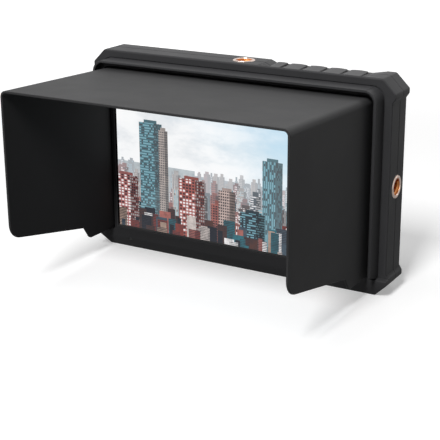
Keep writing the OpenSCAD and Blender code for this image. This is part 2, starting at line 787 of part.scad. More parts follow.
// A key with a crowned top that rises to the back, and a flange that holds it under the wall
crown_r = 30;
module key(i) {
  x1 = key_x1(i);
  x0 = x1 - key_width(i);
  color([0.16, 0.16, 0.17]) {
    intersection() {
      box(x0, x1, key_y0, key_y0 + key_d, key_low_z + flange_h - eps, case_h);
      translate([(x0 + x1) / 2, key_y0 + key_d, key_top_z]) rotate([key_lean, 0, 0]) translate([0, 0, -crown_r])
        rotate([-90, 0, 0]) cylinder(r = crown_r, h = far, center = true, $fn = 96);
    }
    box(x0 - flange_over, x1 + flange_over, key_y0, key_foot_y1, key_low_z, key_low_z + flange_h);
  }
}
module power_key() key(0);
module right_key() key(1);
module left_key() key(2);
module menu_key() key(3);
module input_key() key(4);

module insert_metal() difference() {
  union() {
    insert_body(insert_r, flange_r, flange_t);
    translate([0, 0, -eps]) cylinder(r = flange_r - 0.4, h = 0.15 + eps);
  }
  translate([0, 0, -insert_len - 1]) cylinder(r = thread_r, h = insert_len + 2);
}
module bottom_insert() color([0.75, 0.5, 0.3]) difference() {
  mirror([0, 0, 1]) insert_metal();
  box(-far, far, -far, far, -1, 0);
}
module top_insert() color([0.75, 0.5, 0.3]) translate([0, 0, case_h]) insert_metal();
module side_insert() color([0.75, 0.5, 0.3]) translate([case_hw, 0, case_mid]) rotate([0, 90, 0]) insert_metal();

module battery_plate() color([0.14, 0.14, 0.14]) difference() {
  union() {
    box(-plate_hw, plate_hw, rear_depth, floor_y, plate_z0, plate_z1);
    for (side = [-1, 1], i = [0 : hook_count - 1]) {
      z = plate_z1 - 6 - hook_len - i * hook_step;
      mirror([side < 0 ? 1 : 0, 0, 0]) {
        box(bay_hw, plate_hw, floor_y - eps, hook_y, z, z + hook_len);
        box(bay_hw - hook_over, plate_hw, hook_y - hook_t, hook_y, z, z + hook_len);
      }
    }
    box(-block_hw, block_hw, floor_y - eps, floor_y + block_up, plate_z0, plate_z0 + block_h);
  }
  for (x = [-plate_hw, plate_hw], z = [plate_z0, plate_z1])
    translate([x, floor_y, z]) rotate([0, 45, 0]) cube([3, 20, 3], center = true);
  for (side = [-1, 1], z = plate_screw_z) {
    rod_y(side * plate_screw_x, z, screw_hole_r, rear_depth - 1, floor_y + 1);
    rod_y(side * plate_screw_x, z, screw_head_r + fit, floor_y - screw_head_t - 0.3, floor_y + 1);
  }
  for (i = [-1, 1])
    box(i * blade_pitch - blade_slot / 2, i * blade_pitch + blade_slot / 2, rear_depth + 1, floor_y + block_up + 1,
      plate_z0 + 3, plate_z0 + block_h + 1);
  rod_y(0, latch_z, latch_r + latch_gap, rear_depth - 1, floor_y + 1);
  rod_y(0, latch_z, latch_r + latch_gap + 0.8, rear_depth - 1, floor_y - latch_skin);
  box(-3, 3, rear_depth - 1, rear_depth + 1.2, plate_z0 + 2, plate_z0 + 14);
  box(-blade_pitch - 0.5, blade_pitch + 0.5, rear_depth - 1, rear_depth + 1.2, plate_z0 + 3, plate_z0 + 6);
}

blade_slot = 1;
blade_t = 0.8;
blade_out = 3.5;
module battery_contacts() color([0.8, 0.65, 0.3]) for (i = [-1, 1]) {
  x0 = i * blade_pitch - blade_t / 2;
  z0 = plate_z0 + 3;
  y1 = floor_y + block_up - 0.4;
  box(x0, x0 + blade_t, rear_depth + 1.2, y1, z0, plate_z0 + block_h + 0.5);
  box(x0, x0 + blade_t, floor_y + 0.5, y1, z0, plate_z0 + block_h + blade_out);
}

// Two leads from the contacts, through the back wall, to the connector on the board
module battery_leads() color([0.6, 0.1, 0.1]) for (side = [-1, 1]) {
  x = side * 1.5;
  y = rear_depth + lead_r;
  end_x = side * (blade_pitch - lead_r);
  low_z = plate_z0 + 4.5;
  hole_z = plate_z0 + 12;
  in_y = back_in - 1.2;
  rod_x(y, low_z, lead_r, min(x, end_x), max(x, end_x));
  translate([x, y, low_z]) cylinder(r = lead_r, h = hole_z - low_z);
  rod_y(x, hole_z, lead_r, in_y, y);
  translate([x, in_y, hole_z]) cylinder(r = lead_r, h = lead_plug_z - hole_z);
  rod_y(x, lead_plug_z, lead_r, board_back + lead_plug_t, in_y);
  for (p = [[x, y, low_z], [x, y, hole_z], [x, in_y, hole_z], [x, in_y, lead_plug_z]])
    translate(p) sphere(r = lead_r);
}

module latch_button() color([0.55, 0.1, 0.1]) {
  rod_y(0, latch_z, latch_r, floor_y - latch_skin - latch_flange - latch_gap, floor_y + latch_up);
  rod_y(0, latch_z, latch_r + 0.7, floor_y - latch_skin - latch_flange - latch_gap, floor_y - latch_skin - latch_gap);
}

// Round wire spring between the back of the case and the button
spring_y0 = rear_depth + spring_wire / 2;
spring_y1 = floor_y - latch_skin - latch_flange - latch_gap - spring_wire / 2;
spring_steps = 12;
spring_sides = 6;
function spring_point(k, j) =
  let (a = 360 * k / spring_steps, b = 360 * j / spring_sides, r = spring_r + spring_wire / 2 * cos(b))
  [r * cos(a), spring_y0 + (spring_y1 - spring_y0) * k / (spring_steps * spring_turns)
    + spring_wire / 2 * sin(b), latch_z + r * sin(a)];
module latch_spring() color([0.8, 0.8, 0.82]) {
  rings = spring_steps * spring_turns;
  points = [for (k = [0 : rings], j = [0 : spring_sides - 1]) spring_point(k, j)];
  walls = [for (k = [0 : rings - 1], j = [0 : spring_sides - 1], half = [0, 1])
    let (a = k * spring_sides + j, b = k * spring_sides + (j + 1) % spring_sides)
    half == 0 ? [a, b, b + spring_sides] : [a, b + spring_sides, a + spring_sides]];
  start = [for (j = [1 : spring_sides - 2]) [0, j + 1, j]];
  end = [for (j = [1 : spring_sides - 2]) let (o = rings * spring_sides) [o, o + j, o + j + 1]];
  polyhedron(points, concat(walls, start, end));
}

// A screw with its head towards the back
module screw(x, z, y0, y1, head_r, head_t) difference() {
  union() {
    rod_y(x, z, screw_r, y0, y1);
    rod_y(x, z, head_r, y1, y1 + head_t);
  }
  for (a = [0, 90]) translate([x, y1 + head_t, z]) rotate([0, a, 0]) cube([2 * head_r * 0.6, 0.9, 0.5], center = true);
}
module cover_screws() color([0.1, 0.1, 0.1])
  for (p = posts) screw(p[0], p[1], shelf_y + 0.8, rear_depth - screw_head_t - 0.3, screw_head_r, screw_head_t);
ear_head_r = 1.7;
ear_head_t = 0.9;
module chassis_screws() color([0.7, 0.7, 0.7]) for (side = [-1, 1], z = ear_z) {
  rod_y(side * ear_x, z, ear_r, shelf_y - 2.2, shelf_y + chassis_t);
  rod_y(side * ear_x, z, ear_head_r, shelf_y + chassis_t, shelf_y + chassis_t + ear_head_t);
}
module board_screws() color([0.7, 0.7, 0.7])
  for (side = [-1, 1], z = stand_z) screw(side * stand_x, z, shelf_y, board_back, screw_head_r, screw_head_t);
module plate_screws() color([0.1, 0.1, 0.1]) for (side = [-1, 1], z = plate_screw_z)
  screw(side * plate_screw_x, z, back_in - 1.6, floor_y - screw_head_t - 0.3, screw_head_r, screw_head_t);

front_housing();
rear_cover();
sun_hood();
lcd_glass();
backlight();
display_tray();
display_pad();
chassis_plate();
ribbon_cable();
main_board();
board_parts();
thermal_pad();
heat_sink();
video_in_socket();
video_out_socket();
power_socket();
headphone_socket();
key_board();
key_switches();
key_bezel();
power_key();
input_key();
menu_key();
left_key();
right_key();
top_insert();
side_insert();
bottom_insert();
status_light();
battery_plate();
battery_contacts();
battery_leads();
latch_button();
latch_spring();
cover_screws();
chassis_screws();
board_screws();
plate_screws();
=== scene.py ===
"""Looks of a camera field monitor with a push-on sun hood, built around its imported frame.

Lengths inside the classes are in millimetres unless a name or docstring says otherwise, and MM
turns them into metres. X runs along the width, Y from the screen side to the back, and Z up.
"""

from __future__ import annotations

import json
import logging
import math
import random
from dataclasses import dataclass, field, replace
from enum import Enum
from typing import Callable, Sequence

import bmesh
import bpy
from mathutils import Matrix, Vector

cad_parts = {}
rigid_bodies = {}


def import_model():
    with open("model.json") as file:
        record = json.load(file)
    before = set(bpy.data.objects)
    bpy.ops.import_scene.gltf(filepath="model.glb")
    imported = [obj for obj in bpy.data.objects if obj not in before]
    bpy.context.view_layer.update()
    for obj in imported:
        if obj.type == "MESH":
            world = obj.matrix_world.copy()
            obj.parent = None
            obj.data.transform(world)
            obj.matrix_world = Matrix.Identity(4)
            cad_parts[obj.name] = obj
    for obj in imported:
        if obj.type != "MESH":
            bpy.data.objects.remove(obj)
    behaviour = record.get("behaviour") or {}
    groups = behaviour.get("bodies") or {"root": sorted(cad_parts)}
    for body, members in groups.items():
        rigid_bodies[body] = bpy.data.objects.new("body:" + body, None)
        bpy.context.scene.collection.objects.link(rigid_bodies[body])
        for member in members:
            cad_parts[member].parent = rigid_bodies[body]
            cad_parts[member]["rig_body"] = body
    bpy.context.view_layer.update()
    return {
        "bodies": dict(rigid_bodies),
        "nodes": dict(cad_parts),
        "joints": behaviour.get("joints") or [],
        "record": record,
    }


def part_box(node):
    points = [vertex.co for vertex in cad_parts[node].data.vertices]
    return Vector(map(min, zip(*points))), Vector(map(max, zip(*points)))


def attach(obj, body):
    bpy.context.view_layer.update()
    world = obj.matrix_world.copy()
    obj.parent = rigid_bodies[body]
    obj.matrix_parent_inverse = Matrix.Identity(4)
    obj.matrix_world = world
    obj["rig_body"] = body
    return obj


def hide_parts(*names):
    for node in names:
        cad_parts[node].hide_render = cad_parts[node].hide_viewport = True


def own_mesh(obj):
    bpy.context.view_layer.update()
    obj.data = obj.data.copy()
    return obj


LOG = logging.getLogger("monitor")
MM = 0.001
SHARP = math.radians(26.0)
EDGE_SHARE = 0.28
EDGE_STEPS = 3
HAZE_SHARE = 0.9
Colour = tuple[float, float, float]
Box = tuple[float, float, float, float]
FaceTest = Callable[[Vector, Vector], bool]
PointTest = Callable[[Vector], bool]
PointFit = Callable[[Vector], Vector]


class Slot(Enum):
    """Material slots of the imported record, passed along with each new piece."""

    FRONT = "front_plastic"
    COVER = "cover_plastic"
    HOOD = "hood_plastic"
    DISPLAY = "display"
    SOCKET_METAL = "socket_metal"
    SOCKET_BLACK = "socket_black"
    KEY = "key_rubber"
    BRASS = "insert_brass"
    LENS = "status_lens"
    PLATE = "plate_plastic"
    GOLD = "contact_gold"
    SPRING = "spring_steel"
    SCREW = "screw_black"


class Wire:
    """A shader socket on which Python's operators add Math nodes."""

    def __init__(self, sheet: "ShaderSheet", socket: bpy.types.NodeSocket) -> None:
        """Keep the sheet that owns the nodes, and the socket."""
        self.sheet = sheet
        self.socket = socket

    def maths(self, operation: str, *others: "Wire | float") -> "Wire":
        """Return this value put through a Math node."""
        return self.sheet.maths(operation, self, *others)

    def __add__(self, other: "Wire | float") -> "Wire":
        """Return self + other."""
        return self.maths("ADD", other)

    def __radd__(self, other: float) -> "Wire":
        """Return other + self."""
        return self.sheet.maths("ADD", other, self)

    def __sub__(self, other: "Wire | float") -> "Wire":
        """Return self - other."""
        return self.maths("SUBTRACT", other)

    def __rsub__(self, other: float) -> "Wire":
        """Return other - self."""
        return self.sheet.maths("SUBTRACT", other, self)

    def __mul__(self, other: "Wire | float") -> "Wire":
        """Return self * other."""
        return self.maths("MULTIPLY", other)

    def __rmul__(self, other: float) -> "Wire":
        """Return other * self."""
        return self.sheet.maths("MULTIPLY", other, self)

    def __truediv__(self, other: "Wire | float") -> "Wire":
        """Return self / other."""
        return self.maths("DIVIDE", other)

    def __gt__(self, other: "Wire | float") -> "Wire":
        """Return 1 where self is above other, else 0."""
        return self.maths("GREATER_THAN", other)

    def __lt__(self, other: "Wire | float") -> "Wire":
        """Return 1 where self is below other, else 0."""
        return self.maths("LESS_THAN", other)

    def floor(self) -> "Wire":
        """Return the whole part."""
        return self.maths("FLOOR")

    def fract(self) -> "Wire":
        """Return the part after the point."""
        return self.maths("FRACT")

    def between(self, low: float, high: float) -> "Wire":
        """Return 0 at low, 1 at high and a smooth step between them."""
        return self.sheet.wire(
            "ShaderNodeMapRange",
            {"interpolation_type": "SMOOTHSTEP"},
            {"Value": self, "From Min": low, "From Max": high},
            "Result",
        )


class ShaderSheet:
    """The node tree of one material or world."""

    def __init__(self, name: str, world: bool = False) -> None:
        """Make an empty material, or an empty world.

        Args:
            name: Its name.
            world: Whether it is a world.
        """
        self.owner = (bpy.data.worlds if world else bpy.data.materials).new(name)
        self.owner.use_nodes = True
        self.tree = self.owner.node_tree
        self.tree.nodes.clear()

    def node(
        self,
        kind: str,
        settings: dict[str, object] | None = None,
        inputs: dict[str | int, object] | None = None,
    ) -> bpy.types.Node:
        """Add a node.

        Args:
            kind: The node's type name.
            settings: Its own settings, set first; "stops" gives a ramp's (place, colour) pairs.
            inputs: Values or wires by socket name, identifier or index.

        Returns:
            The new node.
        """
        made = self.tree.nodes.new(kind)
        for key, value in (settings or {}).items():
            if key == "stops":
                self._fill_ramp(made.color_ramp, value)
            else:
                setattr(made, key, value)
        for key, value in (inputs or {}).items():
            target = self._find(made.inputs, key)
            if isinstance(value, Wire):
                self.tree.links.new(value.socket, target)
            else:
                target.default_value = value
        return made

    def wire(
        self,
        kind: str,
        settings: dict[str, object] | None = None,
        inputs: dict[str | int, object] | None = None,
        output: str | int = 0,
    ) -> Wire:
        """Add a node and return one of its outputs as a wire.

        Args:
            kind: The node's type name.
            settings: Its own settings.
            inputs: Values or wires by socket name, identifier or index.
            output: The output's name, identifier or index.

        Returns:
            The output.
        """
        return Wire(self, self._find(self.node(kind, settings, inputs).outputs, output))

    @staticmethod
    def _find(sockets: Sequence[bpy.types.NodeSocket], key: str | int) -> bpy.types.NodeSocket:
        """Find a socket.

        Args:
            sockets: A node's inputs or outputs.
            key: The socket's index, identifier or name.

        Returns:
            The socket.
        """
        if isinstance(key, int):
            return sockets[key]
        for socket in sockets:
            if socket.identifier == key:
                return socket
        return sockets[key]

    @staticmethod
    def _fill_ramp(ramp: bpy.types.ColorRamp, stops: Sequence[tuple[float, Colour]]) -> None:
        """Give a colour ramp its stops.

        Args:
            ramp: The ramp.
            stops: Places from 0 to 1, and their colours.
        """
        while len(ramp.elements) > 1:
            ramp.elements.remove(ramp.elements[-1])
        for index, (place, colour) in enumerate(stops):
            stop = ramp.elements[0] if index == 0 else ramp.elements.new(place)
            stop.position = place
            stop.color = (*colour, 1.0)

    def maths(self, operation: str, *values: Wire | float) -> Wire:
        """Return the result of a Math node on up to three values."""
        return self.wire("ShaderNodeMath", {"operation": operation}, dict(enumerate(values)))

    def place(self) -> Wire:
        """Return the Object coordinates."""
        return self.wire("ShaderNodeTexCoord", None, None, "Object")

    def split(self, vector: Wire) -> tuple[Wire, Wire, Wire]:
        """Return the three parts of a vector."""
        made = self.node("ShaderNodeSeparateXYZ", None, {0: vector})
        return tuple(Wire(self, socket) for socket in made.outputs)

    def join(self, x: Wire | float, y: Wire | float, z: Wire | float) -> Wire:
        """Return a vector of three parts."""
        return self.wire("ShaderNodeCombineXYZ", None, {0: x, 1: y, 2: z})

    def noise(
        self, grain_mm: float, detail: float = 2.0, rough: float = 0.5, at: Wire | None = None
    ) -> Wire:
        """Return smooth noise from 0 to 1.

        Args:
            grain_mm: About how wide its grain is.
            detail: How many finer layers lie on it.
            rough: How strong those layers are.
            at: The coordinates, if they aren't the plain Object ones.

        Returns:
            The noise.
        """
        inputs = {"Vector": at or self.place(), "Scale": 1 / (grain_mm * MM)}
        inputs |= {"Detail": detail, "Roughness": rough}
        return self.wire("ShaderNodeTexNoise", None, inputs, "Fac")

    def stretched(self, scale: Colour) -> Wire:
        """Return Object coordinates scaled along the axes."""
        return self.wire("ShaderNodeMapping", None, {"Vector": self.place(), "Scale": scale})

    def blend(self, share: Wire | float, low: Wire | Colour, high: Wire | Colour) -> Wire:
        """Return a mix of two colours.

        Args:
            share: How much of the second colour there is, from 0 to 1.
            low: The first colour.
            high: The second colour.

        Returns:
            The mixed colour.
        """
        pair = [value if isinstance(value, Wire) else (*value, 1.0) for value in (low, high)]
        inputs = {"Factor_Float": share, "A_Color": pair[0], "B_Color": pair[1]}
        return self.wire("ShaderNodeMix", {"data_type": "RGBA"}, inputs, "Result_Color")

    def ramp(self, share: Wire, stops: Sequence[tuple[float, Colour]]) -> Wire:
        """Return a colour read from a ramp."""
        return self.wire("ShaderNodeValToRGB", {"stops": stops}, {"Fac": share}, "Color")

    def bump(self, height: Wire, depth_mm: float, strength: float = 1.0) -> Wire:
        """Return a normal bent by a height from 0 to 1 that stands for that depth."""
        inputs = {"Strength": strength, "Distance": depth_mm * MM, "Height": height}
        return self.wire("ShaderNodeBump", None, inputs, "Normal")

    def seen(self) -> tuple[Wire, Wire]:
        """Tell the rays apart.

        Returns:
            1 for a camera ray, and 1 for a ray from the camera, a reflection or through glass.
        """
        outputs = self.node("ShaderNodeLightPath").outputs
        kinds = ("Is Camera Ray", "Is Glossy Ray", "Is Transmission Ray")
        camera, glossy, through = (Wire(self, outputs[kind]) for kind in kinds)
        return camera, camera.maths("MAXIMUM", glossy).maths("MAXIMUM", through)

    def attribute(self, name: str, output: str) -> Wire:
        """Return an attribute of the mesh."""
        return self.wire("ShaderNodeAttribute", {"attribute_name": name}, None, output)

    def surface(self, **sockets: object) -> bpy.types.Material:
        """Close the sheet with a Principled surface.

        Args:
            **sockets: Values or wires by socket name, with _ for a space.

        Returns:
            The material.
        """
        inputs = {}
        for key, value in sockets.items():
            if isinstance(value, tuple) and len(value) == 3:
                value = (*value, 1.0)
            inputs[key.replace("_", " ")] = value
        shader = self.node("ShaderNodeBsdfPrincipled", None, inputs)
        self.node("ShaderNodeOutputMaterial", None, {"Surface": Wire(self, shader.outputs[0])})
        return self.owner


@dataclass(frozen=True)
class Finish:
    """A finish, which each kind below turns into a material of its name."""

    name: str

    def material(self) -> bpy.types.Material:
        """Return the finish as a material."""
        raise NotImplementedError(self.name)


def around(colour: Colour, share: float) -> tuple[Colour, Colour]:
    """Return a darker and a paler colour, each that share away from the given one."""
    dark, pale = (tuple(part * by for part in colour) for by in (1 - share, 1 + share))
    return dark, pale


@dataclass(frozen=True)
class MouldedPlastic(Finish):
    """Matte black plastic from an eroded mould."""

    colour: Colour
    roughness: float = 0.5
    specular: float = 0.12
    grain_mm: float = 0.28
    grain_depth_mm: float = 0.012
    variation: float = 0.12

    def material(self) -> bpy.types.Material:
        """Wire the finish up.

        Returns:
            The material.
        """
        sheet = ShaderSheet(self.name)
        cloud = sheet.noise(14.0, 3.0, 0.6)
        speck = sheet.noise(self.grain_mm, 2.0, 0.6)
        tone = sheet.blend(cloud * 0.7 + speck * 0.3, *around(self.colour, self.variation))
        rough = self.roughness + (cloud - 0.5) * 0.16 + (speck - 0.5) * 0.1
        return sheet.surface(
            Base_Color=tone,
            Roughness=rough,
            Specular_IOR_Level=self.specular,
            Normal=sheet.bump(speck, self.grain_depth_mm, 0.6),
        )


@dataclass(frozen=True)
class Metal(Finish):
    """A bare metal with fine marks from rolling, turning or plating."""

    colour: Colour
    roughness: float = 0.3
    mark_scale: Colour = (1.0, 1.0, 1.0)
    grain_mm: float = 0.4
    depth_mm: float = 0.004
    tarnish: Colour | None = None

    def material(self) -> bpy.types.Material:
        """Wire the finish up.

        Returns:
            The material.
        """
        sheet = ShaderSheet(self.name)
        marks = sheet.noise(self.grain_mm, 3.0, 0.65, sheet.stretched(self.mark_scale))
        cloud = sheet.noise(5.0, 2.0, 0.5)
        worn = self.tarnish or tuple(part * 0.82 for part in self.colour)
        tone = sheet.blend(cloud.between(0.35, 0.75) * 0.7 + marks * 0.3, self.colour, worn)
        return sheet.surface(
            Base_Color=tone,
            Metallic=1.0,
            Roughness=self.roughness + (marks - 0.5) * 0.18,
            Normal=sheet.bump(marks, self.depth_mm),
        )


@dataclass(frozen=True)
class SoftSkin(Finish):
    """Rubber, foam or sleeve with a dull open grain."""

    colour: Colour
    roughness: float = 0.72
    grain_mm: float = 0.35
    depth_mm: float = 0.02
    sheen: float = 0.15
    variation: float = 0.2

    def material(self) -> bpy.types.Material:
        """Wire the finish up.

        Returns:
            The material.
        """
        sheet = ShaderSheet(self.name)
        grain = sheet.noise(self.grain_mm, 3.0, 0.6)
        cloud = sheet.noise(4.0, 2.0, 0.5)
        return sheet.surface(
            Base_Color=sheet.blend(grain * 0.5 + cloud * 0.5, *around(self.colour, self.variation)),
            Roughness=self.roughness + (grain - 0.5) * 0.12,
            Specular_IOR_Level=0.3,
            Sheen_Weight=self.sheen,
            Normal=sheet.bump(grain, self.depth_mm),
        )


@dataclass(frozen=True)
class CircuitBoard(Finish):
    """Green solder mask with tracks and pads showing through."""

    def material(self) -> bpy.types.Material:
        """Wire the finish up.

        Returns:
            The material.
        """
        sheet = ShaderSheet(self.name)
        x, _, z = sheet.split(sheet.place())
        wander = sheet.noise(7.0, 1.0, 0.4)
        tracks = (x * 900.0 + z * 350.0 + wander * 4.0).fract() > 0.62
        lines = tracks * (sheet.noise(9.0, 0.0) > 0.47)
        inputs = {"Vector": sheet.place(), "Scale": 520.0}
        pads = sheet.wire("ShaderNodeTexVoronoi", {"feature": "F1"}, inputs, "Distance")
        dots = pads < 0.16
        mask = sheet.blend(lines * 0.6, (0.008, 0.07, 0.03), (0.02, 0.17, 0.07))
        tone = sheet.blend(dots * (wander > 0.5), mask, (0.55, 0.52, 0.45))
        return sheet.surface(
            Base_Color=tone,
            Roughness=0.28 + wander * 0.1,
            Coat_Weight=0.3,
            Normal=sheet.bump(lines * 0.5 + dots * 0.5, 0.02),
        )


@dataclass(frozen=True)
class SmoothPlastic(Finish):
    """Smooth plastic, film or glass with faint flow marks."""

    colour: Colour
    roughness: float = 0.2
    coat: float = 0.2
    metallic: float = 0.0
    variation: float = 0.15

    def material(self) -> bpy.types.Material:
        """Wire the finish up.

        Returns:
            The material.
        """
        sheet = ShaderSheet(self.name)
        flow = sheet.noise(6.0, 3.0, 0.6)
        return sheet.surface(
            Base_Color=sheet.blend(flow, *around(self.colour, self.variation)),
            Metallic=self.metallic,
            Roughness=self.roughness + (flow - 0.5) * 0.1,
            Coat_Weight=self.coat,
            Normal=sheet.bump(flow, 0.01),
        )


@dataclass
class Kit:
    """The loaded frame, with the ways to make pieces out of it."""

    frame: dict[str, object]
    weld_m: float = 2e-6
    flat_deg: float = 0.4
    finishes: dict[str, bpy.types.Material] = field(default_factory=dict)
    pieces: list[bpy.types.Object] = field(default_factory=list)

    def finish(self, finish: Finish) -> bpy.types.Material:
        """Return a finish's material, made once."""
        if finish.name not in self.finishes:
            self.finishes[finish.name] = finish.material()
        return self.finishes[finish.name]

    def body(self, node: str) -> str:
        """Return the name of the CAD body that a node belongs to."""
        return self.frame["nodes"][node]["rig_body"]

    def dress(self, node: str, finish: Finish) -> None:
        """Give a CAD node that stays its material.

        Args:
            node: The CAD node.
            finish: Its finish.
        """
        slots = self.frame["nodes"][node].data.materials
        slots.clear()
        slots.append(self.finish(finish))

    def add(
        self, name: str, bm: bmesh.types.BMesh, finishes: Sequence[Finish], body: str, slot: Slot
    ) -> bpy.types.Object:
        """Turn a bmesh in metres into a piece.

        Args:
            name: The piece's name.
            bm: Its shape, which is freed.
            finishes: Its finishes, in the order of the faces' material numbers.
            body: The CAD body it rides on.
            slot: The record's material slot; not used.

        Returns:
            The new object.
        """
        mesh = bpy.data.meshes.new(name)
        bm.to_mesh(mesh)
        bm.free()
        for finish in finishes:
            mesh.materials.append(self.finish(finish))
        piece = bpy.data.objects.new(name, mesh)
        bpy.context.scene.collection.objects.link(piece)
        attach(piece, body)
        self.pieces.append(piece)
        return piece

    def merged(self, node: str) -> bmesh.types.BMesh:
        """Copy a CAD node's shape, with its triangles joined into whole faces.

        Args:
            node: The CAD node.

        Returns:
            The shape, in metres.
        """
        bm = bmesh.new()
        bm.from_mesh(self.frame["nodes"][node].data)
        bmesh.ops.remove_doubles(bm, verts=bm.verts, dist=self.weld_m)
        flat = math.radians(self.flat_deg)
        bmesh.ops.dissolve_limit(bm, angle_limit=flat, verts=bm.verts, edges=bm.edges)
        bm.normal_update()
        return bm

    def rounded(
        self,
        node: str,
        name: str,
        finishes: Sequence[Finish],
        slot: Slot,
        width_mm: float,
        zones: Sequence[tuple[int, FaceTest]] = (),
        fit: PointFit | None = None,
        hidden: PointTest | None = None,
    ) -> bpy.types.Object:
        """Make a piece that stands for a CAD node, with its outside edges rounded.

        Args:
            node: The CAD node.
            name: The piece's name.
            finishes: Its finishes.
            slot: The record's material slot.
            width_mm: The widest rounding; narrow faces get less.
            zones: Pairs of a material number and a test on a face's middle (in mm) and normal.
            fit: Where a point (in mm) of the CAD shape goes, if some move.
            hidden: A test on an edge's middle (in mm) for the edges that stay sharp out of sight.

        Returns:
            The new object.
        """
        bm = self.merged(node)
        for vert in bm.verts if fit else ():
            vert.co = fit(vert.co / MM) * MM
        for face in bm.faces:
            for number, test in zones:
                if test(face.calc_center_median() / MM, face.normal):
                    face.material_index = number
        weigh_edges(bm, width_mm, hidden)
        piece = self.add(name, bm, finishes, self.body(node), slot)
        soften(piece, width_mm)
        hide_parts(node)
        return piece


def face_groups(bm: bmesh.types.BMesh) -> list[float]:
    """Measure the smooth regions, which end at sharp edges, that the faces lie in.

    Args:
        bm: The shape.

    Returns:
        For each face the mean width of its region in metres.
    """
    bm.faces.ensure_lookup_table()
    group = [-1] * len(bm.faces)
    widths: list[float] = []
    for start in bm.faces:
        if group[start.index] >= 0:
            continue
        group[start.index] = len(widths)
        stack, area, rim = [start], 0.0, 0.0
        while stack:
            face = stack.pop()
            area += face.calc_area()
            for edge in face.edges:
                smooth = len(edge.link_faces) == 2 and edge.calc_face_angle(0.0) < SHARP
                if not smooth:
                    rim += edge.calc_length()
                    continue
                for other in edge.link_faces:
                    if group[other.index] < 0:
                        group[other.index] = len(widths)
                        stack.append(other)
        widths.append(2 * area / max(rim, 1e-9))
    return [widths[number] for number in group]


def weigh_edges(bm: bmesh.types.BMesh, width_mm: float, hidden: PointTest | None) -> None:
    """Write how far each sharp outside edge is rounded, as a share of the widest rounding.

    Args:
        bm: The shape.
        width_mm: The widest rounding.
        hidden: A test on an edge's middle (in mm) for the edges that stay sharp.
    """
    weight = bm.edges.layers.float.new("bevel_weight_edge")
    widths = face_groups(bm)
    for edge in bm.edges:
        if len(edge.link_faces) != 2 or edge.calc_face_angle_signed(0.0) < SHARP:
            continue
        if hidden and hidden((edge.verts[0].co + edge.verts[1].co) / (2 * MM)):
            continue
        room = min(widths[face.index] for face in edge.link_faces)
        edge[weight] = min(1.0, EDGE_SHARE * room / (width_mm * MM))


def settle(piece: bpy.types.Object) -> None:
    """Apply a piece's modifiers to its mesh.

    Args:
        piece: The piece.
    """
    graph = bpy.context.evaluated_depsgraph_get()
    graph.update()
    mesh = bpy.data.meshes.new_from_object(piece.evaluated_get(graph))
    piece.modifiers.clear()
    piece.data = mesh


def smooth(piece: bpy.types.Object, angle_deg: float = 32.0) -> None:
    """Shade a piece smoothly, apart from its sharp edges, with flat faces kept flat.

    Args:
        piece: The piece.
        angle_deg: The least angle of a sharp edge.
    """
    piece.data.shade_smooth()
    piece.data.set_sharp_from_angle(angle=math.radians(angle_deg))
    weighted = piece.modifiers.new("flat_faces", "WEIGHTED_NORMAL")
    weighted.keep_sharp = True


def soften(piece: bpy.types.Object, width_mm: float) -> None:
    """Round a piece's weighted edges and shade it.

    Args:
        piece: The piece.
        width_mm: The rounding of an edge of full weight.
    """
    bevel = piece.modifiers.new("edge", "BEVEL")
    bevel.limit_method = "WEIGHT"
    bevel.width = width_mm * MM
    bevel.segments = EDGE_STEPS
    bevel.use_clamp_overlap = False
    bevel.loop_slide = False
    bevel.miter_outer = "MITER_ARC"
    settle(piece)
    smooth(piece)


@dataclass(frozen=True)
class Lamp:
    """A soft rectangular lamp: where it stands and what it is aimed at, in metres."""

    name: str
    place: Colour
    aim: Colour
    size: tuple[float, float]
    watts: float

    def build(self) -> None:
        """Add the lamp to the scene."""
        data = bpy.data.lights.new(self.name, "AREA")
        data.shape = "RECTANGLE"
        data.size, data.size_y = self.size
        data.energy = self.watts
        lamp = bpy.data.objects.new(self.name, data)
        lamp.location = self.place
        beam = Vector(self.aim) - Vector(self.place)
        lamp.rotation_euler = beam.to_track_quat("-Z", "Y").to_euler()
        bpy.context.scene.collection.objects.link(lamp)


